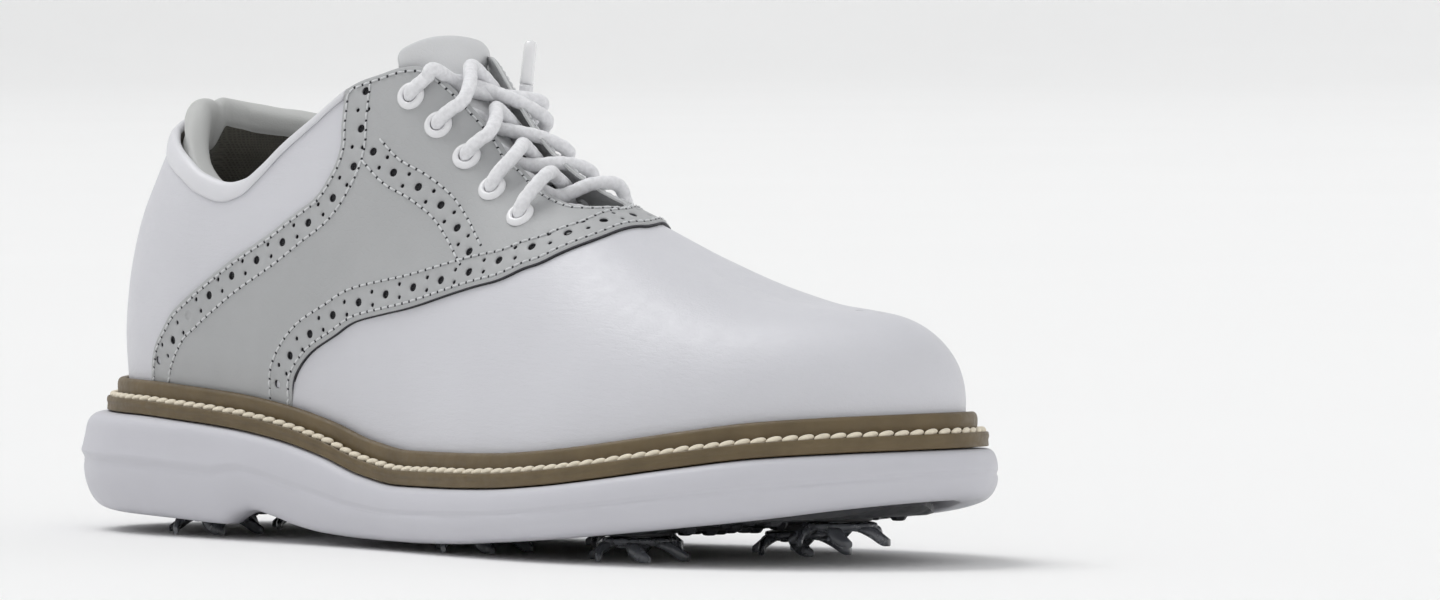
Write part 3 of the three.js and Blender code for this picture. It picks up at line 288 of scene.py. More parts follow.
# ------------------------------------------------------------------ materials
class Nodes:
    def __init__(s, name, color, rough=0.5, **sockets):
        s.m = bpy.data.materials.new(name); s.m.use_nodes = True; s.t = s.m.node_tree; s.b = s.t.nodes["Principled BSDF"]
        s.set("Roughness", rough); s.color = color; s.b.inputs["Base Color"].default_value = (*color, 1)
        for k, v in sockets.items(): s.set(k.replace("_", " "), v)
        s.co = s.t.nodes.new("ShaderNodeTexCoord").outputs["Object"]; s.h = None
    def set(s, k, v): s.b.inputs[k].default_value = v
    def node(s, kind, **k):
        n = s.t.nodes.new(kind)
        for a, v in k.items(): setattr(n, a, v)
        return n
    def link(s, a, b): s.t.links.new(a, b)
    def mapped(s, scale=(1, 1, 1), rot=(0, 0, 0)):
        n = s.node("ShaderNodeMapping"); n.inputs["Scale"].default_value = scale; n.inputs["Rotation"].default_value = rot
        s.link(s.co, n.inputs["Vector"]); return n.outputs["Vector"]
    def noise(s, scale, detail=3, rough=0.5, vec=None, dist=0.0):
        n = s.node("ShaderNodeTexNoise"); n.inputs["Scale"].default_value = scale; n.inputs["Detail"].default_value = detail; n.inputs["Roughness"].default_value = rough; n.inputs["Distortion"].default_value = dist
        s.link(vec if vec is not None else s.co, n.inputs["Vector"]); return n.outputs["Fac"]
    def cells(s, scale, feature="F1", vec=None, out="Distance"):
        n = s.node("ShaderNodeTexVoronoi", feature=feature); n.inputs["Scale"].default_value = scale
        s.link(vec if vec is not None else s.co, n.inputs["Vector"]); return n.outputs[out]
    def wave(s, scale, vec=None, dist=0.0, direction="X", profile="SIN"):
        n = s.node("ShaderNodeTexWave", bands_direction=direction, wave_profile=profile); n.inputs["Scale"].default_value = scale; n.inputs["Distortion"].default_value = dist
        s.link(vec if vec is not None else s.co, n.inputs["Vector"]); return n.outputs["Fac"]
    def ramp(s, fac, a, b, c0=0.0, c1=1.0):
        n = s.node("ShaderNodeMapRange"); n.inputs["From Min"].default_value = a; n.inputs["From Max"].default_value = b; n.inputs["To Min"].default_value = c0; n.inputs["To Max"].default_value = c1
        s.link(fac, n.inputs["Value"]); return n.outputs["Result"]
    def math(s, op, a, b):
        n = s.node("ShaderNodeMath", operation=op)
        for i, x in enumerate((a, b)):
            if isinstance(x, (int, float)): n.inputs[i].default_value = x
            else: s.link(x, n.inputs[i])
        return n.outputs[0]
    def mixcol(s, fac, a, b):
        n = s.node("ShaderNodeMix", data_type="RGBA"); s.link(fac, n.inputs["Factor"])
        for k, x in (("A", a), ("B", b)):
            i = [q for q in n.inputs if q.name == k and q.type == "RGBA"][0]
            if isinstance(x, tuple): i.default_value = (*x, 1)
            else: s.link(x, i)
        return [q for q in n.outputs if q.type == "RGBA"][0]
    def paint(s, col): s.link(col, s.b.inputs["Base Color"])
    def mottled(s, amount, scale=40, detail=4):
        c = s.color; d = tuple(x * (1 - amount) for x in c); l = tuple(min(x * (1 + amount), 1) for x in c)
        o = s.mixcol(s.ramp(s.noise(scale, detail), 0.3, 0.7), d, l); s.last = o; s.paint(o); return o
    def bump(s, height, strength, distance):
        n = s.node("ShaderNodeBump"); n.inputs["Strength"].default_value = strength; n.inputs["Distance"].default_value = distance
        s.link(height, n.inputs["Height"])
        if s.h is not None: s.link(s.h, n.inputs["Normal"])
        s.h = n.outputs["Normal"]; s.link(s.h, s.b.inputs["Normal"])
    def rough(s, fac, a, b): s.link(s.ramp(fac, 0.3, 0.7, a, b), s.b.inputs["Roughness"])

def leather(name, color, rough, grain=900, strength=0.18, mottle=0.03, crease=0.0, spec=0.5):
    m = Nodes(name, color, rough); m.set("Specular IOR Level", spec)
    m.mottled(mottle, 30, 5); m.rough(m.noise(260, 3), rough - 0.05, rough + 0.07)
    if crease:
        v = m.mapped((26, 110, 150), (0, 0.25, 0)); w = m.noise(6.0, 5, 0.65, v, 0.6)
        m.bump(m.ramp(w, 0.35, 0.65), crease, 0.0006)
        v2 = m.mapped((1, 3.2, 2.6)); m.bump(m.cells(170, "DISTANCE_TO_EDGE", v2), crease * 0.35, 0.0004)
    m.bump(m.ramp(m.cells(grain, "DISTANCE_TO_EDGE"), 0.0, 0.12), strength, 0.00008)
    m.bump(m.noise(grain * 3.1, 2), strength * 0.6, 0.00005)
    return m.m
white = leather("white_leather", (0.655, 0.655, 0.692), 0.42, 780, 0.16, 0.018, 0.10)
grey = leather("grey_leather", (0.432, 0.438, 0.444), 0.52, 560, 0.26, 0.045, 0.0, 0.42)
flesh = leather("leather_flesh_side", (0.40, 0.38, 0.35), 0.85, 1400, 0.5, 0.08)
# Near-black on the saddle's cut edges and flesh side: dark edge paint, darkened further as a painted shadow under the
# saddle's edge onto the vamp.
edge_paint_and_shadow_m = leather("leather_cut_edge", (0.085, 0.085, 0.095), 0.7, 1500, 0.5, 0.1)
# Pale colour for the cut edges and the facing's back round the throat: a painted highlight along the facing edge.
throat_highlight_m = leather("facing_back", (0.60, 0.605, 0.61), 0.7, 1400, 0.4, 0.06)
tab_m = leather("tab_leather", (0.20, 0.20, 0.205), 0.62, 900, 0.4, 0.12)
# Near-black band across the pull tab where its groove runs: painted shade in the groove.
tab_groove_shade_m = leather("tab_band", (0.03, 0.03, 0.033), 0.55, 900, 0.4, 0.2)
tongue_m = leather("tongue_leather", (0.72, 0.725, 0.735), 0.55, 900, 0.22, 0.03, 0.06, 0.4)
rim_m = leather("collar_leather", (0.53, 0.535, 0.525), 0.58, 1000, 0.25, 0.04, 0.08, 0.4)
bind_m = leather("binding_leather", (0.73, 0.73, 0.76), 0.38, 900, 0.15, 0.02)

def textile(name, color, pitch, rough=0.9, strength=0.6, mottle=0.1):
    m = Nodes(name, color, rough); m.set("Sheen Weight", 0.25); m.set("Sheen Roughness", 0.5)
    a = m.wave(1 / pitch / 0.62 * 0.31, m.mapped((1, 1, 1), (0, 0, 0)), 0.4, "X"); b = m.wave(1 / pitch / 0.62 * 0.31, m.mapped((1, 1, 1), (0, 0, 0)), 0.4, "Z")
    w = m.math("MAXIMUM", a, b); c = m.color
    o = m.mixcol(m.ramp(m.noise(60, 4), 0.3, 0.7), tuple(x * (1 - mottle) for x in c), tuple(x * (1 + mottle) for x in c))
    # The weave's low places are painted darker, following the weave bump: painted shade between the yarns.
    m.paint(m.mixcol(m.ramp(w, 0, 1, 0.25, 1), tuple(x * 0.55 for x in c), o)); m.bump(w, strength, 0.00022); m.bump(m.noise(3800, 2), 0.4, 0.0001)
    return m.m
lining_m = textile("lining_textile", (0.105, 0.100, 0.082), 0.0011)
sock_m = textile("sockliner_textile", (0.22, 0.22, 0.22), 0.0014)

def thread(name, color):
    m = Nodes(name, color, 0.75); m.mottled(0.08, 900, 2); m.bump(m.noise(5200, 2), 0.5, 0.00008); m.bump(m.noise(1500, 2), 0.35, 0.0001)
    m.set("Sheen Weight", 0.15); return m.m
thread_grey = thread("thread_pale_grey", (0.66, 0.67, 0.68))
thread_welt = thread("thread_cream", (0.80, 0.72, 0.575))
lace_m = thread("lace_cotton", (0.83, 0.83, 0.85))
# Near-black dimples where the stitches go into the leather: painted shade in the needle holes.
hole_shade_m = Nodes("needle_hole", (0.035, 0.035, 0.04), 0.9); hole_shade_m.mottled(0.2, 500); hole_shade_m = hole_shade_m.m
# Near-black sheet under the saddle: painted shade in the brogue holes and a painted shadow line along the saddle's
# edges.
shade_sheet_m = textile("dark_backing", (0.028, 0.028, 0.032), 0.0009)

m = Nodes("welt_rubber", (0.130, 0.093, 0.045), 0.5); m.set("Specular IOR Level", 0.45)
m.mottled(0.13, 120, 5); m.rough(m.noise(500, 3), 0.42, 0.6); m.bump(m.noise(1900, 4, 0.6), 0.25, 0.00012); m.bump(m.noise(260, 3), 0.2, 0.0003); welt_m = m.m
m = Nodes("midsole_foam", (0.585, 0.583, 0.625), 0.46); m.set("Specular IOR Level", 0.42)
m.mottled(0.016, 25, 4); m.rough(m.noise(180, 3), 0.4, 0.52); m.bump(m.noise(90, 3), 0.09, 0.0008); m.bump(m.noise(2400, 3), 0.14, 0.00007); foam_m = m.m
m = Nodes("outsole_plastic", (0.030, 0.031, 0.035), 0.42); m.mottled(0.2, 80, 4); m.rough(m.noise(320, 3), 0.34, 0.55); m.bump(m.noise(1300, 4), 0.25, 0.0001); sole_m = m.m
m = Nodes("receptacle_plastic", (0.018, 0.018, 0.02), 0.5); m.mottled(0.25, 200, 3); m.bump(m.noise(1700, 3), 0.25, 0.0001); socket_m = m.m
m = Nodes("cleat_plastic", (0.20, 0.21, 0.235), 0.22); m.set("Transmission Weight", 0.5); m.set("IOR", 1.49); m.set("Coat Weight", 0.2); m.set("Coat Roughness", 0.12)
m.mottled(0.25, 140, 3); m.rough(m.noise(300, 3), 0.16, 0.32); m.bump(m.noise(800, 3), 0.12, 0.0002); cleat_m = m.m
m = Nodes("eyelet_enamel", (0.86, 0.86, 0.875), 0.25); m.set("Coat Weight", 0.4); m.set("Coat Roughness", 0.15); m.mottled(0.012, 300, 2); m.bump(m.noise(900, 2), 0.05, 0.0001); eyelet_m = m.m
m = Nodes("aglet_film", (0.88, 0.88, 0.89), 0.2); m.set("Coat Weight", 0.5); m.set("Coat Roughness", 0.1); m.mottled(0.015, 500, 2); m.bump(m.wave(700, None, 1.5, "Z"), 0.08, 0.0001); aglet_m = m.m
m = Nodes("board_fibre", (0.36, 0.27, 0.16), 0.85); m.mottled(0.18, 700, 5); m.bump(m.noise(2400, 4), 0.5, 0.0001); board_m = m.m
m = Nodes("stiffener_fibre", (0.58, 0.54, 0.46), 0.85); m.mottled(0.12, 900, 5); m.bump(m.noise(2600, 4), 0.5, 0.0001); stiff_m = m.m
m = Nodes("spring_steel", (0.5, 0.51, 0.52), 0.35); m.set("Metallic", 1.0); m.mottled(0.08, 60, 3); m.rough(m.noise(60, 4, 0.6, m.mapped((1, 14, 14))), 0.28, 0.45); m.bump(m.noise(900, 3, 0.5, m.mapped((0.1, 1, 1))), 0.12, 0.00006); steel_m = m.m

# CAD pieces whose shape stays as it is, inside the shoe
for n, mm in (("insole_board", board_m), ("footbed_filler", board_m), ("shank", steel_m), ("heel_counter", stiff_m), ("toe_puff", stiff_m)):
    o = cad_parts[n]; o.data.materials.clear(); o.data.materials.append(mm)

# ------------------------------------------------------------------ pattern lines on the last, as (s, v)
REAR_EDGE = lat([(.1468,.02),(.1824,.116),(.2091,.160),(.2403,.210),(.2814,.283),(.3115,.357),(.3426,.465),(.356,.559),(.3582,.617),(.3526,.653),(.3448,.709)])
FRONT_EDGE = lat([(.3259,0),(.3337,.062),(.3537,.136),(.3838,.220),(.4105,.301),(.4672,.425),(.5384,.591),(.5662,.651),(.5873,.717),(.6118,.792),(.644,.930),(.6552,1)])
TOP_EDGE = lat([(.3448,.709),(.3726,.830),(.3915,.910),(.402,.944),(.410,.962),(.416,.968)])
FACING = lat([(.4235,.9735),(.4372,.978),(.4505,.978),(.4683,.976),(.4794,.974),(.5061,.960),(.5228,.964),(.5573,.956),(.5818,.960),(.5951,.968),(.6090,.986),(.6165,.9985)])
rear = spline(np.vstack([[.1400, -.07], REAR_EDGE]), 160); front = spline(FRONT_EDGE, 220)
front = np.vstack([np.linspace([.3259, -.07], front[0], 6)[:-1], front])
top_e = spline(TOP_EDGE, 60); facing = spline(np.vstack([TOP_EDGE[-1], FACING]), 140)[1:]
facing_round = spline(np.array([facing[-1], [.6195, 1.0], med(facing[-1:])[0]]), 13)[1:-1]
base_l = np.linspace([.3259, -.07], [.1400, -.07], 40)[1:-1]
half_l = np.vstack([rear, top_e[1:], facing])                       # up the back edge, along the collar and down the throat
saddle_line = np.vstack([half_l, facing_round, med(half_l)[::-1], med(base_l)[::-1], med(front)[:-1], front[::-1], base_l])
d3 = np.linalg.norm(np.diff(X(saddle_line), axis=0), axis=1); saddle_line = saddle_line[np.concatenate([[True], d3 > 1e-6])]
saddle_line = even(saddle_line, 1.25, closed=True, key=X)

# ------------------------------------------------------------------ grommet places
MIDDLE = -2.7
EYELETS = [(120.6, 16.8), (130.1, 16), (140.1, 15.3), (151, 16.2), (163.6, 18)]
def plan(x, y):
    lo, hi = (np.array([.25, .55]), np.array([.75, 1.0])) if y < MIDDLE else (np.array([.25, 1.0]), np.array([.75, 1.45]))
    for _ in range(8):
        g = np.stack(np.meshgrid(np.linspace(lo[0], hi[0], 33), np.linspace(lo[1], hi[1], 33), indexing="ij"), -1)
        d = np.hypot(X(g)[..., 0] - x, X(g)[..., 1] - y); i = np.unravel_index(d.argmin(), d.shape); best = g[i]; w = (hi - lo) / 9
        lo, hi = best - w, best + w
    return best
eyes = {}
for side, name in ((-1, "lateral"), (1, "medial")):
    for i, (x, o) in enumerate(EYELETS):
        sv = plan(x, MIDDLE + side * o); eyes[side, i] = (f"{name}_{i + 1}", sv, X(sv), normal(sv))

# ------------------------------------------------------------------ brogue holes
BAND_REAR = lat([(.3671,.775),(.3749,.701),(.3771,.615),(.3604,.495),(.337,.391),(.3103,.309),(.2848,.253),(.2581,.208),(.2336,.164),(.2091,.124),(.188,.080),(.1613,.040)])
BAND_ARC = lat([(.3930,.700),(.416,.705),(.4449,.730),(.4716,.738),(.495,.719),(.5195,.681)])
BAND_FRONT = lat([(.6363,1),(.6285,.950),(.604,.856),(.5706,.746),(.5328,.637),(.4939,.545),(.4583,.463),(.4249,.383),(.3938,.305),(.366,.214),(.3471,.160),(.3359,.124),(.3126,.040)])
holes = []; edge3 = X(saddle_line); ekd = KDTree(len(edge3))
for i, p in enumerate(edge3): ekd.insert(p, i)
ekd.balance()
def hole(c, r):
    p = X(c)
    if ekd.find(p)[2] < r + 1.25: return
    if any(np.linalg.norm(p - X(q)) < r + rr + 0.95 for q, rr in holes): return
    holes.append((np.asarray(c, float), r))
for k in eyes.values(): holes.append((k[1], 2.05))
def band(P, r=1.1):
    n = max(int(round(np.linalg.norm(np.diff(X(spline(P, 300)), axis=0), axis=1).sum() / 10.2)), 1)
    Q = even(spline(P, 400), np.linalg.norm(np.diff(X(spline(P, 400)), axis=0), axis=1).sum() / n, key=X)
    for c in Q: hole(c, r)
    K = X(Q); M = (Q[1:] + Q[:-1]) / 2; T = unit(K[1:] - K[:-1]); N = normal(M); B = np.cross(N, T)
    for sgn in (-1, 1):
        for c in M + step(M, B * 1.75 * sgn): hole(c, 0.55)
for f in (lambda P: P, med):
    band(f(BAND_REAR)); band(f(BAND_FRONT) if f is med else BAND_FRONT[::1]); band(f(BAND_ARC))

rise = lambda sv: 0.35 + 0.85 * smooth((1 - np.abs(1 - sv[:, 1])) / 0.05)   # the overlay thins where it is lasted under
saddle = panel("saddle_overlay", saddle_line, [grey, edge_paint_and_shadow_m, throat_highlight_m], holes, h=2.3, top=rise, thick=1.0, edge=0.5, slot="leather_grey", replaces=["saddle"])
# The sheet is grown 0.28 mm past the saddle, so its near-black rim shows as a painted shadow along the saddle's edges;
# it also fills the brogue holes with painted shade.
shade_sheet = panel("saddle_backing", saddle_line, [shade_sheet_m, shade_sheet_m, throat_highlight_m], [h for h in holes if h[1] > 1.9], h=4.5, top=lambda sv: rise(sv) - 1.03, thick=0.1, edge=0.1, grow=0.28, slot="leather_grey")

def paint_throat_highlight(ob, mine, light):
    """round the throat the cut edges and the facing's back are painted pale: a painted highlight along the facing edge
    """
    for p in ob.data.polygons:
        c = p.center * 1000; x, y = c.x + 139.8, c.y - 0.2
        if p.material_index in mine and 96 < x < 181 and abs(y + 2.5) < 17: p.material_index = light
paint_throat_highlight(saddle, (1,), 2); paint_throat_highlight(shade_sheet, (0, 1), 2)

toe_v = np.linspace(-.07, 2.07, 141)
vf = front - [0.021, 0]
vamp_line = np.vstack([even(vf, 1.5, key=X), even(med(vf)[::-1], 1.5, key=X)[1:], even(np.linspace([vf[0, 0], 2.07], [1, 2.07], 300), 1.6, key=X)[1:-1],
                       np.stack([np.ones(141), toe_v[::-1]], -1), even(np.linspace([1, -.07], [vf[0, 0], -.07], 300), 1.6, key=X)[1:-1]])
vamp = panel("vamp_leather", vamp_line, [white, flesh], [], h=2.0, top=0.0, thick=1.4, weld_toe=True, slot="leather_white", replaces=["vamp"])

# ------------------------------------------------------------------ collar
TOPL = table([(-8,109.5),(9,109.4),(14,108.4),(20,105.8),(28.4,102.6),(40.8,98),(50,94.2),(60.7,92),(67,93.2),(73,97.2),(80,103.4),(90,110.9),(99,117.6),(109,122.2),(117,124.3)])
TOPM = table([(-8,109.5),(9,109.4),(14,108.8),(20,108.6),(30,108.2),(41,107.2),(52,106.4),(62,106.4),(73,108.2),(84,111.8),(95,116.4),(102,119.4),(109,122.2),(117,124.3)])
def at_height(s, side, z):
    fx = feather(s, side)[0]; z0 = zfeather(fx); t = (z - z0) / (ridge_z(30 + fx / 284 * 232) - z0); v = V(t); v = np.where(t < 0, (z - z0) / 60, v)
    return np.stack([s, np.where(side < 0, v, 2 - v)], -1)
def wall_point(s, side, z, d):
    sv = np.array([at_height(a, b, c) for a, b, c in zip(np.atleast_1d(s), np.atleast_1d(side), np.atleast_1d(z))]); return off(sv, -np.broadcast_to(d, (len(sv),)))
def topline(u):
    u = np.atleast_1d(u); side = np.where(u < 0, -1, 1); s = np.abs(u) * 0.345; z = np.full(len(u), 100.0)
    for _ in range(14):
        p = X(np.array([at_height(a, b, c) for a, b, c in zip(s, side, z)])); z = np.where(side < 0, TOPL(p[:, 0]), TOPM(p[:, 0]))
    return s, side, z
uu = np.linspace(-1, 1, 181); ts, tside, tz = topline(uu)
tl = np.array([at_height(a, b, c) for a, b, c in zip(ts, tside, tz)]); tl = np.where((tside > 0)[:, None], np.stack([-tl[:, 0], 2 - tl[:, 1]], -1), tl)
qf = rear[4:] + np.outer(np.linspace(1, 0.55, len(rear) - 4), [0.022, 0]); qf = np.vstack([[qf[0, 0], -.07], qf])
qf_l = qf[qf[:, 1] < tl[0, 1] - 0.012]
mirror = lambda P: np.stack([-P[:, 0], P[:, 1]], -1)
quarter_line = np.vstack([qf_l, tl, mirror(qf_l)[::-1], np.linspace([-qf[0, 0], -.07], [qf[0, 0], -.07], 120)[1:-1]])
quarter_line = even(quarter_line, 1.5, closed=True, key=X)
quarter = panel("quarter_leather", quarter_line, [white, flesh], [], h=2.6, top=0.0, thick=1.4, slot="leather_white", replaces=["quarter"])

CROWN_L = table([(0,7),(.145,9),(.232,10),(.29,9.3),(.348,7.4),(.406,4.2),(.49,1.6),(.58,1),(1,1)])
CROWN_M = table([(0,7),(.06,8),(.19,7),(.3,5.9),(.45,5.2),(.72,4),(.9,1.6),(1,1)])
def respace(P, n):
    L = np.concatenate([[0], np.cumsum(np.linalg.norm(np.diff(P, axis=0), axis=1))]); q = np.linspace(0, L[-1], n)
    return np.stack([np.interp(q, L, P[:, c]) for c in range(3)], -1)
rings, rim_of = [], []
for u, s, side, z in zip(uu, ts, tside, tz):
    c = smooth((1 - abs(u)) / 0.25); th = 2.2 + 4.6 * c; crown = float((CROWN_L if u < 0 else CROWN_M)(abs(u))); k = 1.4 * smooth((crown - 4) / 4)
    x0 = X(at_height(s, side, z))[0]; low = float(TOPL(x0)) - 23.5
    prof = [(-0.5, 2.9), (crown * .35, 2.7), (crown * .66, 2.9 - k), (crown * .93, 3.1), (crown, 2.8 + th * .5), (crown * .62, 2.6 + th * .9), (-3, 2.8 + th), (-14, 2.8 + th * .92), (low - z + .6, 2.8 + th * .5 + .8), (low - z, 3.1)]
    P = wall_point(np.full(10, s), np.full(10, side), np.array([z + a for a, _ in prof]), np.array([b for _, b in prof]))
    zc = z + crown - 8.2 - 7.0 * smooth((0.06 - u) / 0.16); F = spline(P, 400, closed=True); cut = 165 + int(np.argmax(F[165:330, 2] < zc))
    R = np.vstack([respace(F[:cut + 1], 29)[:-1], respace(np.vstack([F[cut:], F[:1]]), 17)[:-1]]); cen = R.mean(0); inner = np.arange(44) > 16
    g = 0.55 * np.exp(-((R[:, 2] - zc) / 0.55) ** 2) * inner + 0.4 * np.exp(-((R[:, 2] - (zc - 8.0)) / 0.5) ** 2) * inner
    wob = 0.16 * np.sin(u * 31 + R[:, 2] * 0.5) * np.sin(u * 13.0 + 1.1) + 0.10 * np.sin(u * 57 + 2)
    R = R + unit(cen - R) * (g + wob * smooth((1 - abs(u)) / 0.1))[:, None]
    rings.append(R); rim_of.append([0 if (j < 28 or j == 43) else 1 for j in range(44)])
rings = np.array(rings)
for _ in range(8): rings[1:-1] = (rings[:-2] + 2 * rings[1:-1] + rings[2:]) / 4
v, f = loft(rings); mi = []
for q in f:
    if len(q) == 4: mi.append(rim_of[min(q[0] // 44, 180)][q[0] % 44])
    else: mi.append(0)
padding = put("collar_roll", v, f, [rim_m, lining_m], midx=mi, slot="collar_textile", replaces=["collar_padding"])

prof = np.array([(-3.2, -.02), (-3.3, -.5), (-2.2, -.86), (-.6, -.95), (.9, -.75), (1.9, 0.0), (2.15, .9), (1.6, 1.75), (.6, 1.85), (.25, 1.3), (.2, .25), (-1.2, -.02)])
rings = []
for u, s, side, z in zip(uu, ts, tside, tz):
    k = 1 - 0.5 * smooth((abs(u) - 0.62) / 0.36); p = prof.copy(); p[:, 0] = np.where(p[:, 0] < 0, p[:, 0] * k, p[:, 0] * (1 - 0.35 * smooth((abs(u) - 0.62) / 0.36)))
    rings.append(spline(wall_point(np.full(12, s), np.full(12, side), z + p[:, 0], p[:, 1]), 26, closed=True))
v, f = loft(rings); put("collar_piping", v, f, bind_m, slot="binding_white", replaces=["collar_binding"])

# lining walls, from under the padding down to the footbed and round the toe
LT = table([(60, 66), (75, 69), (100, 85), (120, 83), (150, 71), (178, 65), (193, 61), (284, 57)])
nw, nr = 260, 22; rings = []
for i in range(nw):
    t = i / nw * 2; side = -1 if t < 1 else 1; s = t if t < 1 else 2 - t
    fx = float(feather(s, side)[0]); z0 = float(zfeather(fx)); zt = float(TOPL(fx)) - 21.5 if s < 0.30 else float(LT(fx)) * smooth((s - .3) / .05) + (float(TOPL(fx)) - 21.5) * (1 - smooth((s - .3) / .05))
    if s > 0.8: zt = min(zt, z0 + (float(ridge_z(30 + fx / 284 * 232)) - z0) * 0.78)
    zz = np.linspace(z0 - 4.5, zt, nr)
    sv = np.array([at_height(s, side, a) for a in zz]); o = off(sv, -np.full(nr, 3.75)); q = off(sv, -np.full(nr, 4.45))
    rings.append(np.vstack([o, q[::-1]]))
v, f = loft(rings, closed=True); put("lining_walls", v, f, lining_m, slot="lining_textile", replaces=["lining"])

# pull tab up the back seam
rows = []
tab_rows = [(72, 9), (80, 9.6), (88, 10.4), (96, 11.4), (102, 12), (106, 12.2)]
for z in np.linspace(71.5, 106.2, 46):
    w = float(np.interp(z, [a for a, _ in tab_rows], [b for _, b in tab_rows])); w -= 1.6 * max(0, 1 - (z - 71.5) / 2.5) ** 2 + 1.2 * max(0, 1 - (106.2 - z) / 2.0) ** 2
    band_ = 0.45 * np.exp(-((z - 89.5) / 1.6) ** 2); row = []
    for sgn, dd in ((1, -2.25), (-1, -1.05)):
        for a in (np.linspace(-1, 1, 15) if sgn > 0 else np.linspace(1, -1, 15)):
            q = a * w; e = w - abs(q); d = dd + (0.45 * max(0, 1 - e / 0.8) ** 2 - (band_ if sgn > 0 else 0)) * (1 if sgn > 0 else 0)
            row.append((abs(q) / 300, -1 if q < 0 else 1, z, d))
    rows.append(wall_point(*[np.array(c) for c in zip(*row)]))
# The second material covers the groove band (87.6 < z < 91.4) in near-black: painted shade in the groove.
v, f = loft(rows); mi = [1 if (len(q) == 4 and 87.6 < v[q[0]][2] < 91.4) else 0 for q in f]
put("pull_tab", v, f, [tab_m, tab_groove_shade_m], midx=mi, slot="tab_grey", replaces=["heel_tab"])

# ------------------------------------------------------------------ stitching on the saddle
def lump(bag, P, r, n=6, m=0):
    R = tube(P, r, n, up=(0.13, 0.2, 0.97)); v, f = loft(R); bag.add(v, f, m)
threads, hole_shade_dots = Bag(), Bag()
def stitch_row(path, d, pitch=2.6, length=2.15, r=0.29, skip=()):
    Q = beside(path, d) if d else path
    Q = even(Q, pitch, key=X); N = normal(Q); K = X(Q) + N * rise(Q)[:, None]; T = unit(np.gradient(K, axis=0))
    for k, n, t, q in zip(K, N, T, Q):
        if q[1] < -0.02 or q[1] > 2.02: continue
        if any(np.linalg.norm(X(c) - (k - n * 1.2)) < rr + 0.7 for c, rr in skip): continue
        a = np.linspace(-1, 1, 7); P = k + t * (a * length / 2)[:, None] + n * (0.20 - 0.52 * a ** 4)[:, None]
        lump(threads, P, r * (1 - 0.25 * a ** 2))
        # a near-black dimple between stitches: painted shade in the needle hole
        c = k + t * (pitch / 2); e = unit(np.cross(n, t)); w = np.arange(8) / 8 * 2 * np.pi
        ringp = lambda rr, z: c + (np.cos(w)[:, None] * t + np.sin(w)[:, None] * e) * rr + n * z
        v, f = loft([ringp(0.30, -0.2), ringp(0.42, -0.02), ringp(0.40, 0.05), ringp(0.2, 0.07)]); hole_shade_dots.add(v, f)
front_all = even(np.vstack([front, med(front)[::-1][1:]]), 1.2, key=X)
top_all = even(np.vstack([half_l, facing_round, med(half_l)[::-1]]), 1.0, key=X)
stitch_row(front_all, 1.35); stitch_row(front_all, 8.6)
stitch_row(top_all, -1.5)
for g, s in ((lambda P: P, 1), (med, -1)):
    stitch_row(g(even(rear, 1.2, key=X)), -8.6 * s)
    arc = even(spline(BAND_ARC, 90), 1.2, key=X)
    stitch_row(g(arc), 3.7 * s); stitch_row(g(arc), -3.7 * s)
threads.put("saddle_stitching", thread_grey, slot="leather_grey"); hole_shade_dots.put("saddle_needle_holes", hole_shade_m, slot="leather_grey")

# ------------------------------------------------------------------ grommets
RISE = 1.2
eb = Bag()
for (side, i), (nm, sv, p, n) in eyes.items():
    prof = [(2.05, -1.9), (2.0, .5), (2.12, .98), (2.5, 1.2), (3.0, 1.12), (3.5, .78), (3.8, .35), (3.87, .06), (3.7, -.04), (2.5, -.06), (2.35, -1.9)]
    a1 = unit(np.cross(n, [0, 1, 0])); a2 = np.cross(n, a1); w = np.arange(40) / 40 * 2 * np.pi; o = p + n * RISE
    R = np.array([[o + (np.cos(t) * a1 + np.sin(t) * a2) * r + n * z for r, z in spline(prof, 30, closed=True)] for t in w])
    v, f = loft(R, closed=True); put(f"grommet_{nm}", v, f, eyelet_m, slot="eyelet_white", replaces=[f"eyelet_{nm}"])

# ------------------------------------------------------------------ tongue
TONGUE = [[186,75.8,10,7.5,70],[179,78.4,11.5,9,75],[169,82.4,12.2,10.5,78],[158.4,87.6,12.6,12,80],[148.4,94,12.8,13.4,82],[139.4,101.6,12.8,14,84],[131.5,109.5,13,14.8,84],[124.8,117.4,13.8,15.2,83],[120.4,123.6,15.0,13,74,0,26],[118.2,128.4,16.2,9,72,.2,44],[116.8,131.8,17.5,8.4,68,.5,56],[115.9,133.3,17,7.2,60,.8,60]]
rows = []
for i, r in enumerate(TONGUE):
    x, z, a, b, deg = r[:5]; dy = r[5] if len(r) > 5 else 0.0
    if len(r) > 6: t = math.radians(r[6]); dn = (-math.cos(t), -math.sin(t))
    else:
        p, q = TONGUE[max(i - 1, 0)], TONGUE[min(i + 1, 11)]; L = math.hypot(q[0] - p[0], q[1] - p[1]); dn = (-(q[1] - p[1]) / L * -1 * -1, (q[0] - p[0]) / L)
    rows.append([x, z, a, b, deg, dy, dn[0], dn[1]])
RR = spline(rows, 110); w0 = np.linspace(-1, 1, 41); rings = []
def tongue_ring(r, thick, grow=0.0):
    x, z, a, b, deg, dy, dx, dz = r; L = math.hypot(dx, dz); dx, dz = dx / L, dz / L; w = np.radians(deg) * w0; yr = float(ridge_y(x))
    def shell(q):
        d = q + (b - q) * (1 - np.cos(w)); return np.stack([x + dx * d, yr + dy + (a - q) * np.sin(w), z + dz * d], -1)
    return shell(-grow), shell(thick)
n = len(RR)
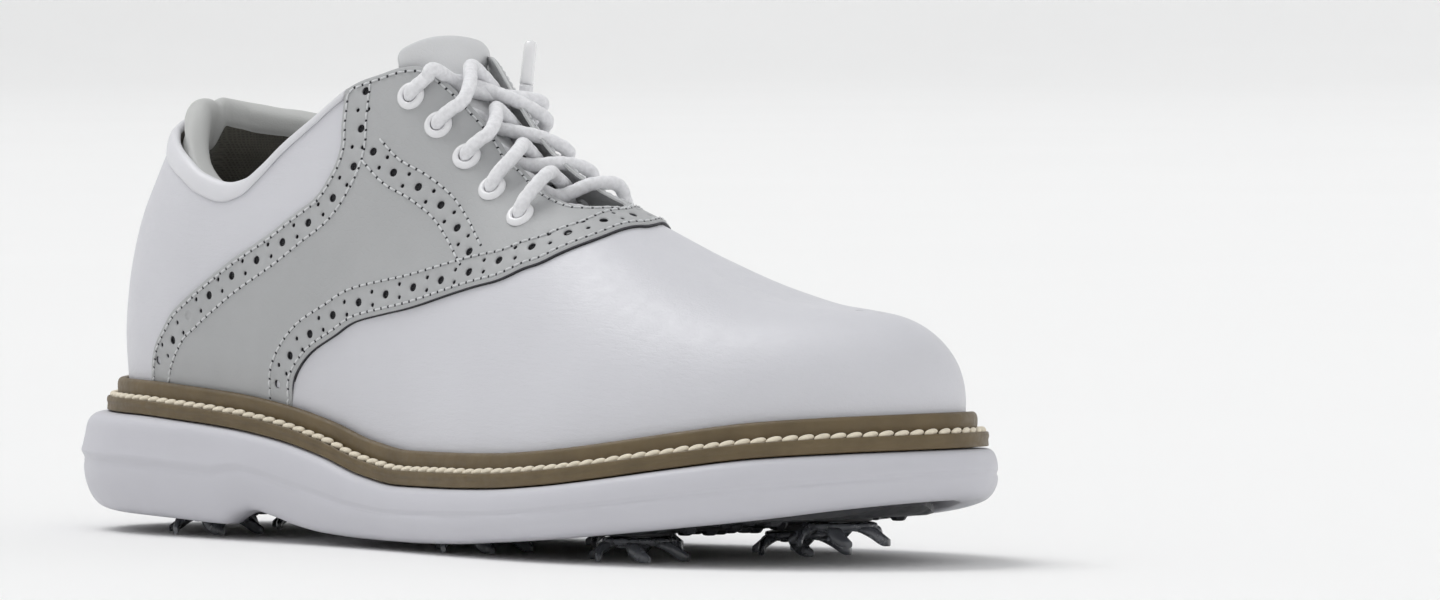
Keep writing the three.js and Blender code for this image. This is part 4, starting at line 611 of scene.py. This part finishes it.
for i, r in enumerate(RR):
    t = i / (n - 1); edge = min(i, n - 1 - i); k = math.sqrt(1 - max(0, 1 - edge / 4) ** 2) if edge < 4 else 1.0
    puff = 0.35 * math.sin(math.pi * min(1, t * 1.04)) ** 0.5
    o, q = tongue_ring(r, 3.6, puff); mid = (o + q) / 2; o = mid + (o - mid) * max(k, .08); q = mid + (q - mid) * max(k, .08)
    o = o + (0.10 * np.sin(w0 * 5 + i * 0.21) + 0.08 * np.sin(i * 0.47 + w0 * 2))[:, None] * np.array([0, 0, 1.0]) * k * smooth((1 - abs(w0)) / 0.3)[:, None]
    e1, e2 = (o[-1] + q[-1]) / 2, (o[0] + q[0]) / 2; s1 = unit(o[-1] - o[-2]) * 0.9 * k; s2 = unit(o[0] - o[1]) * 0.9 * k
    rings.append(np.vstack([o, [e1 + s1], q[::-1], [e2 + s2]]))
v, f = loft(rings); tongue = put("tongue_pad", v, f, tongue_m, body="tongue", slot="tongue_leather", replaces=["tongue"])

# ------------------------------------------------------------------ lace, in one route from end to end
tongue_z = table([(r[0], r[1]) for r in TONGUE][::-1])
def at(e, d, to):
    _, sv, p, n = eyes[e]; t = np.array([0, -e[0], 0.0]); t = unit(t - n * (t @ n)); return p + n * d + t * to
def crossing(side, level, upper):
    a, b = (side, level), (-side, level - 1); x = (eyes[a][2][0] + eyes[b][2][0]) / 2; ea, eb_ = EYELETS[level][1] - 9, EYELETS[level - 1][1] - 9
    mid = np.array([x, float(ridge_y(x)), float(tongue_z(x)) + (8.2 if upper else 3.2)]); g = at(a, 3.6, ea + 3.6); q1 = mid + (g - mid) * .62 + [0, 0, .7]
    return [at(a, -1, 0), at(a, 1.6, .1), at(a, 2.9, 1.3), at(a, 3.8, 4.2), at(a, 4.1, ea + 2), q1, mid, at(b, -4.2, eb_ + 1.6), at(b, -4.4, 4.6), at(b, -3.9, 2.1), at(b, -3, .6)]
legA, legB, side = [], [], -1
for lv in (4, 3, 2, 1): legA += crossing(side, lv, side < 0); side = -side
eA = side; side = 1
for lv in (4, 3, 2, 1): legB += crossing(side, lv, side < 0); side = -side
def finish(s):
    e = (s, 0); return [at(e, -1, 0), at(e, 1.6, .1), at(e, 2.9, 1.3), at(e, 3.3, 4.2), at(e, 3.3, 6.6)] if s < 0 else [at(e, -1, 0), at(e, 2, 0), at(e, 4.6, .2)]
def between(d, to):
    (_, _, p, n), (_, _, q, m_) = eyes[1, 0], eyes[1, 1]; n = unit(n + m_); t = np.array([0, -1.0, 0]); t = unit(t - n * (t @ n)); return (p + q) / 2 + n * d + t * to
def tip_of(s):
    """the outer end lies across the tongue and down the other side, the inner end stands up at its grommet"""
    if s < 0: return [at((-1, 0), 3.6, 9.5), np.array([126.8, float(ridge_y(126)) - 1, float(tongue_z(126.8)) + 3.4]), between(5.2, 8), between(4.9, 2), between(4.7, -3)]
    e = eyes[1, 0]; return [e[2] + e[3] * 5.6 + [-.4, 0, 1.0], e[2] + e[3] * 6.2 + [-.9, 0, 2.8]]
R4, L4 = (1, 4), (-1, 4)
bar = [at(R4, -3, .6), at(R4, -3.9, 2.1), at(R4, -4.2, 6), np.array([164.5, float(ridge_y(164)), float(tongue_z(164.5)) + 3.2]), at(L4, -4.2, 6), at(L4, -3.9, 2.1), at(L4, -3, .6)]
LP = np.array(tip_of(side)[::-1] + finish(side)[::-1] + legB[::-1] + bar + legA + finish(eA) + tip_of(eA))
LQ = even(spline(LP, 3600), 0.42)
T, U, B = frames(LQ); a = np.arange(18) / 18 * 2 * np.pi; sl = np.arange(len(LQ)) * 0.42
rr = 1.80 + 0.075 * np.maximum(np.sin(3 * a[None] + sl[:, None] * 2.1), np.sin(3 * a[None] - sl[:, None] * 2.1))
R = LQ[:, None] + rr[..., None] * (U[:, None] * np.cos(a)[None, :, None] + B[:, None] * np.sin(a)[None, :, None])
v, f = loft(R); put("lace_cord", v, f, lace_m, slot="lace_white", replaces=["lace"])
for nm, p, q in (("lateral", LP[0], LP[1]), ("medial", LP[-1], LP[-2])):
    t = unit(p - q); z = np.array([.3, .4, .9, 2, 4, 6, 8, 10, 11.4, 12.0, 12.3]); r = np.array([1.2, 1.72, 1.86, 1.8, 1.74, 1.72, 1.7, 1.66, 1.6, 1.3, .7])
    v, f = loft(tube(p + t * z[:, None], r, 20)); put(f"lace_tip_{nm}", v, f, aglet_m, slot="aglet_white", replaces=[f"aglet_{nm}"])

# ------------------------------------------------------------------ bottom
def plan_ring(n, offset):
    out = []
    for i in range(n):
        u = i / n * 2; side = -1 if u < 1 else 1; s = u if u < 1 else 2 - u; e = 0.006
        def fv(k):
            v_, sd = s + k * e * -side, side
            if v_ < 0: v_, sd = -v_, -sd
            if v_ > 1: v_, sd = 2 - v_, -sd
            return np.array(feather(v_, sd), float)
        p, a_, b_ = np.array(feather(s, side), float), fv(-1), fv(1); d = b_ - a_; L = np.hypot(*d); o = offset(p[0]) if callable(offset) else offset
        out.append([p[0], p[1], d[1] / L, -d[0] / L, s])
    return np.array(out)
NP = 360
PR = plan_ring(NP, 0.0); px, py, nx, ny = PR[:, 0], PR[:, 1], PR[:, 2], PR[:, 3]
for _ in range(6):
    nx = (np.roll(nx, 1) + 2 * nx + np.roll(nx, -1)) / 4; ny = (np.roll(ny, 1) + 2 * ny + np.roll(ny, -1)) / 4
L = np.hypot(nx, ny); nx, ny = nx / L, ny / L
zf = zfeather(px); axis = np.stack([30 + px / 284 * 232, ridge_y(30 + px / 284 * 232)], -1)
bed = table([(0,39.6),(62,39.6),(85,36.2),(107,32),(125,27.6),(142,25.8),(162,25.9),(181,26.4),(201,28),(221,30.6),(240,33.6),(257,36.2),(284,38)])
z_lip = table([(0,5.6),(45,4.6),(66,3.9),(71,6.2),(77,8),(86,6.6),(96,4.4),(106,3.1),(123,2.4),(142,2.3),(162,2.8),(181,4),(201,5.6),(221,7.6),(240,9.8),(258,12.2),(274,15),(286,17)])
z_plate = table([(0,6.6),(80,6.6),(110,6.6),(154,6.3),(185,6.3),(217,6.9),(227,8),(238,10.7),(254,11),(266,11.8),(275,15)])
flare = lambda x: 12.6 - 4.0 * smooth(x / 70) - 0.4 * smooth((x - 230) / 50)
def prism(o, z): return np.stack([px + nx * o, py + ny * o, np.broadcast_to(z, px.shape)], -1)
def shrink(o, k, z): b_ = prism(o, z); b_[:, 0] += (axis[:, 0] - b_[:, 0]) * k; b_[:, 1] += (axis[:, 1] - b_[:, 1]) * k; b_[:, 2] = z; return b_

sec = spline([(.55, -8.4), (.7, -2), (.75, -.2), (.95, .25), (1.5, .45), (2.2, .3), (2.75, -.25), (3.0, -1.2), (3.02, -2.4), (2.9, -3.6), (3.0, -4.3), (3.3, -4.85), (4.2, -5.2), (5.0, -4.95), (5.45, -4.6), (5.8, -4.9), (5.95, -5.8), (5.75, -6.6), (5.8, -7.6), (5.6, -8.35), (3, -8.4)], 63, closed=True)
R = np.array([prism(o, zf + dz) for o, dz in sec]).transpose(1, 0, 2)
v, f = loft(R, closed=True); put("storm_welt", v, f, welt_m, slot="welt_tan", replaces=["welt"])
wb = Bag(); C = prism(4.25, zf - 4.35); C2 = even(C, 4.05, closed=True); Tn = unit(np.roll(C2, -1, 0) - np.roll(C2, 1, 0)); Nn = np.cross([0, 0, 1.0], Tn); Nn = -unit(Nn)
for c, t, nn in zip(C2, Tn, Nn):
    out = nn if (c + nn - [142, 0, 0]) @ (c - [142, 0, 0]) > 0 else nn
    up = np.array([0, 0, 1.0]); j = rng.normal(0, 0.05, 2)
    for kk, (sh, lift) in enumerate(((0.0, 0.0),)):
        a = np.linspace(-1, 1, 11); P = c + t * (a * 1.95)[:, None] + out * (-a * 0.42 + j[0])[:, None] + up * (a * 0.34 + j[1] + 0.12 * (1 - a * a))[:, None]
        r = 0.86 * np.sqrt(np.maximum(1 - (a * 0.97) ** 2, 0.02)) ** 0.75
        Rg = tube(P, r, 12, up=(0, 0, 1)); wb.add(*loft(Rg))
wb.put("welt_stitches", thread_welt, slot="welt_thread", replaces=["welt_stitching"])

zt, zl = zf - 8.7, z_lip(px); fl = flare(px); heel = 1 - smooth((px - 55) / 45)
def mz(t): return zl + (zt - zl) * t
msec = [(.10, 1.0), (.40, 1.0), (.60, .995), (.74, .975), (.85, .93), (.915, .87), (.962, .79), (.99, .71), (1.0, .64), (.998, .60), (.972, .555), (.962, .525), (.975, .49), (.985, .44), (.972, .37), (.94, .30), (.895, .235), (.83, .165), (.74, .10), (.63, .05), (.48, .015), (.30, 0.0), (.12, 0.0)]
rings = []
for k, t in spline(msec, 67):
    kk = k + heel * 0.035 * np.exp(-((t - 0.60) / 0.05) ** 2) * 1.0 - heel * 0.02 * np.exp(-((t - 0.78) / 0.08) ** 2)
    wave_ = 0.12 * np.sin(px * 0.16 + t * 5) * (t < .5)
    rings.append(prism(fl * kk + wave_, mz(np.clip(t, 0, 1))))
def recess(x): return np.maximum(smooth((x - 105) / 4) * (1 - smooth((x - 273) / 3)), smooth((x + 1) / 3) * (1 - smooth((x - 69) / 4)))
def under(b, h, k=1.0): b[:, 2] = zl + (z_plate(b[:, 0]) + h - zl) * recess(b[:, 0]) * k; return b
rings += [prism(-1.2, zl), under(prism(-1.8, zl), 2.6, .3), under(prism(-2.0, zl), 2.6), under(prism(-5, zl), 6.4)]
for k in (.15, .3, .5, .7, .85, .97): rings.append(under(shrink(-5, k, zl), 6.4))
top = [shrink(-5, k, zt) for k in (.97, .6)] + [prism(-5, zt)]
R = np.array(top + rings)
v, f = loft(R, cap=False); m_, n_ = R.shape[:2]
hN = NP // 2
def zip_cap(base, flip):
    out = []
    for i in range(hN):
        a_, b_, c_, d_ = base + i, base + i + 1, base + (NP - i - 1) % NP, base + (NP - i) % NP
        q = [x for j, x in enumerate((a_, b_, c_, d_)) if x not in (a_, b_, c_, d_)[:j]]
        if len(q) > 2: out.append(q[::-1] if flip else q)
    return out
f += zip_cap(0, True) + zip_cap((m_ - 1) * n_, False)
put("midsole_unit", v, f, foam_m, slot="midsole_foam", replaces=["midsole"])

# footbed
zb = np.minimum(bed(px), zf) - 2.6; ztp = bed(px) + 1.4
R = np.array([shrink(-5.9, k, zb) for k in (.97, .6)] + [prism(-6.2, zb), prism(-5.75, zb + .35), prism(-5.6, zb + 1), prism(-5.6, ztp - .9), prism(-5.75, ztp - .3), prism(-6.2, ztp)] + [shrink(-6.2, k, ztp) for k in (.1, .25, .45, .65, .85, .97)])
v, f = loft(R, cap=False); m_, n_ = R.shape[:2]; f += zip_cap(0, True) + zip_cap((m_ - 1) * n_, False)
put("footbed_sheet", v, f, sock_m, body="sockliner", slot="sockliner_textile", replaces=["sockliner"])

# outsole plates
CLEATS = [("heel_lateral", 41, -18, 0), ("heel_medial", 43, 17, 0), ("ball_rear_lateral", 154, -25, 0), ("ball_rear_medial", 166, 17, 0), ("ball_front_lateral", 212, -25, 0), ("ball_front_medial", 220, 25, 0), ("toe", 252, 7, 4.2)]
def edge_y(x, side):
    h = HL[0] if side < 0 else HM[0]; return float(np.interp(x, h[:, 0], h[:, 1]))
def plate_outline(x0, x1, inset):
    xs = x0 + (x1 - x0) * (1 - np.cos(np.linspace(0, np.pi, 70))) / 2; a_, b_ = [], []
    for x in xs:
        t = (x - x0) / (x1 - x0); c = .5 * (edge_y(x, -1) + edge_y(x, 1)); w_ = .5 * (edge_y(x, 1) - edge_y(x, -1)) - inset; r_ = min(1, math.sqrt(max(1 - (max(0, .16 - min(t, 1 - t)) / .17) ** 2, .02)))
        a_.append((x, c - w_ * r_)); b_.append((x, c + w_ * r_))
    return even(np.array(a_ + b_[::-1]), 2.0, closed=True)
def tread(name, x0, x1, node):
    O = plate_outline(x0, x1, 2.7); cx = O.mean(0); pts = [O]; cons = [(i, (i + 1) % len(O)) for i in range(len(O))]; cur = len(O); ids = []
    for _, x, y, _t in CLEATS:
        if not x0 < x < x1: continue
        a_ = np.arange(40) / 40 * 2 * np.pi; pts.append(np.stack([x + 8.95 * np.cos(a_), y + 8.95 * np.sin(a_)], -1)); cons += [(cur + i, cur + (i + 1) % 40) for i in range(40)]; ids.append(set(range(cur, cur + 40))); cur += 40
    fixed = np.vstack(pts); lo, hi = O.min(0), O.max(0); G = np.stack(np.meshgrid(np.arange(lo[0], hi[0], 3.1), np.arange(lo[1], hi[1], 2.8), indexing="ij"), -1); G[:, 1::2, 0] += 1.5; G = G.reshape(-1, 2)
    G = G[inpoly(G, O)]; G = np.array([g for g in G if np.hypot(*(fixed - g).T).min() > 1.2])
    Q = np.vstack([fixed, G]); vo, eo, fo, ov, oe, of_ = delaunay_2d_cdt([Vector(q) for q in Q], cons, [], 0, 1e-6); back = [o[0] if o else -1 for o in ov]
    tri = np.array([[back[i] for i in ff] for ff in fo if len(ff) == 3 and all(back[i] >= 0 for i in ff)]); ok = inpoly(Q[tri].mean(1), O)
    for s_ in ids: ok &= ~np.isin(tri, list(s_)).all(1)
    tri = tri[ok]; z0 = z_plate(Q[:, 0]); e = np.zeros(len(Q)); e[:len(O)] = .5; n = len(Q); bag = Bag(); E = {}
    for t in tri:
        for i in range(3):
            p, q = int(t[i]), int(t[(i + 1) % 3])
            if (q, p) in E: del E[(q, p)]
            else: E[(p, q)] = 1
    V3 = np.vstack([np.column_stack([Q, z0 + e]), np.column_stack([Q, z0 + 2.3])])
    bag.add(V3, tri.tolist() + [[t[2] + n, t[1] + n, t[0] + n] for t in tri.tolist()] + [[q, p, p + n, q + n] for p, q in E])
    inner = cx + (O - cx) * 0.9
    for x in np.arange(x0 + 8, x1 - 6, 9.0):
        for j, y in enumerate(np.arange(-48, 49, 8.0)):
            c = np.array([x + (4.5 if j % 2 else 0), y])
            if not inpoly(c[None], inner)[0] or min(math.hypot(c[0] - k[1], c[1] - k[2]) for k in CLEATS) < 16.2: continue
            w_ = np.arange(6) / 6 * 2 * np.pi; zz = float(z_plate(c[0]))
            bag.add(*loft([np.stack([c[0] + r_ * np.cos(w_), c[1] + r_ * np.sin(w_), np.full(6, zz + h_)], -1) for r_, h_ in ((2.4, .6), (2.3, -.15), (1.7, -1.0), (1.2, -1.15))]))
    bag.put(name, sole_m, slot="outsole_plate", replaces=[node], sharp=35)
tread("tread_forefoot", 108.5, 273.5, "outsole_forefoot"); tread("tread_heel", 4.5, 69.5, "outsole_heel")

def lathe(prof, n, c, gear=None):
    w_ = np.arange(n) / n * 2 * np.pi; R = []
    for i, (r, z) in enumerate(prof):
        k = r * (1 + (gear(w_, i) if gear else 0)); R.append(np.stack([c[0] + k * np.cos(w_), c[1] + k * np.sin(w_), np.full(n, c[2] + z)], -1))
    return loft(R)
for nm, x, y, tip in CLEATS:
    face = tip + 6.3; c = np.array([x, y, face])
    put(f"socket_{nm}", *lathe([(.5, 6.2), (5.9, 6.2), (6.2, 5.9), (6.2, 2.6), (6.6, 2.2), (8.1, 1.75), (8.4, 1.4), (8.4, .25), (8.15, 0), (4.0, 0), (3.7, .3), (3.7, 4.8), (.5, 4.8)], 48, c), socket_m, slot="receptacle_plastic", replaces=[f"receptacle_{nm}"], sharp=35)
    bag = Bag(); teeth = lambda w_, i: (0.035 * np.sign(np.sin(12 * w_)) * np.abs(np.sin(12 * w_)) ** .4 if 3 <= i <= 7 else 0 * w_)
    bag.add(*lathe([(.4, -1.9), (2.6, -1.9), (3.0, -2.25), (8.0, -2.3), (8.8, -2.15), (9.2, -1.7), (9.3, -1.1), (9.1, -.6), (8.6, -.42), (3.3, -.42), (3.25, 1), (3.25, 3.7), (2.8, 4.0), (.4, 4.0)], 96, c, teeth))
    for k in range(6):
        a0 = k / 6 * 2 * np.pi; S = spline([(6.4, 0, 2.1, -2.2, -1.0), (8.6, .08, 2.05, -3.1, -1.15), (10.6, .16, 1.9, -4.3, -1.6), (12.2, .31, 1.5, -6.1, -3.2), (13.4, .42, 1.1, -6.3, -4.5)], 15); R = []
        for r, w_, hf, z0, z1 in S:
            q = np.arange(14) / 14 * 2 * np.pi; cu = np.sign(np.cos(q)) * np.abs(np.cos(q)) ** .6; su = np.sign(np.sin(q)) * np.abs(np.sin(q)) ** .6; an = a0 + w_ + hf / r * cu; z = (z0 + z1) / 2 + (z1 - z0) / 2 * su
            R.append(np.stack([x + r * np.cos(an), y + r * np.sin(an), face + np.maximum(z, -6.3)], -1))
        bag.add(*loft(R))
        a1 = a0 + .5; rr_ = 6.0; cc = np.array([x + rr_ * np.cos(a1), y + rr_ * np.sin(a1), face])
        bag.add(*lathe([(1.5, -2.1), (1.45, -2.6), (1.1, -3.0), (.5, -3.1)], 14, cc))
    bag.put(f"soft_cleat_{nm}", cleat_m, body=f"cleat_{nm}", slot="cleat_plastic", replaces=[f"cleat_{nm}"], sharp=50)

# ------------------------------------------------------------------ floor, light and camera
fm = Nodes("floor_pale", (0.94, 0.938, 0.935), 0.9); fm.set("Specular IOR Level", 0.1); fm.mottled(0.004, 2.0, 2); fm.bump(fm.noise(400, 2), 0.03, 0.0001)
radii = np.concatenate([[0.05], np.linspace(.5, 12, 12), 12 + np.linspace(.6, 10, 14)]); rise_ = np.where(radii > 12, 30 * (1 - np.sqrt(np.maximum(1 - ((radii - 12) / 10.2) ** 2, 0))), 0)
nA = 96; aa = np.arange(nA) / nA * 2 * np.pi; fv_ = np.array([[(r * math.cos(t), r * math.sin(t), z) for t in aa] for r, z in zip(radii, rise_)]).reshape(-1, 3)
ff = grid_faces(len(radii), nA, False, True) + [list(range(nA))]
me = bpy.data.meshes.new("studio_floor"); me.from_pydata(fv_.tolist(), [], ff); me.materials.append(fm.m); me.polygons.foreach_set("use_smooth", [True] * len(me.polygons)); me.update()
floor = bpy.data.objects.new("studio_floor", me); bpy.context.scene.collection.objects.link(floor); floor.location.z = -0.0001

scene = bpy.context.scene
world = bpy.data.worlds.new("studio"); scene.world = world; world.use_nodes = True
bg = world.node_tree.nodes["Background"]; bg.inputs["Color"].default_value = (0.97, 0.985, 1, 1); bg.inputs["Strength"].default_value = 0.48
def sun(name, az, el, e, angle, col=(1, 1, 1)):
    l = bpy.data.lights.new(name, "SUN"); l.energy = e; l.angle = math.radians(angle); l.color = col; o = bpy.data.objects.new(name, l); scene.collection.objects.link(o)
    d = Vector((math.cos(math.radians(az)) * math.cos(math.radians(el)), math.sin(math.radians(az)) * math.cos(math.radians(el)), math.sin(math.radians(el)))); o.rotation_euler = d.to_track_quat("Z", "Y").to_euler()
sun("key", 200, 62, 1.25, 34); sun("front", -70, 50, 0.25, 60); sun("side", -10, 40, 0.20, 60)
scene.view_settings.view_transform = "Standard"; scene.view_settings.look = "None"; scene.view_settings.exposure = 0.0; scene.view_settings.gamma = 1.0

a, e = math.radians(47), math.radians(1.7)
back = Vector((math.sin(a) * math.cos(e), -math.cos(a) * math.cos(e), math.sin(e))); right = Vector((math.cos(a), math.sin(a), 0)); up = back.cross(right)
Tg = Vector((0.0042, 0.0002, 0.070)); cam = bpy.data.cameras.new("camera"); cam.sensor_width = 36; cam.lens = 9980 / 1440 * 36; cam.clip_end = 200; cam.clip_start = 0.05; cam.dof.use_dof = False
co = bpy.data.objects.new("camera", cam); scene.collection.objects.link(co); co.location = Tg + back * 2.6
co.rotation_euler = (Tg + right * 0.0498 - up * 0.0060 - co.location).to_track_quat("-Z", "Y").to_euler(); scene.camera = co
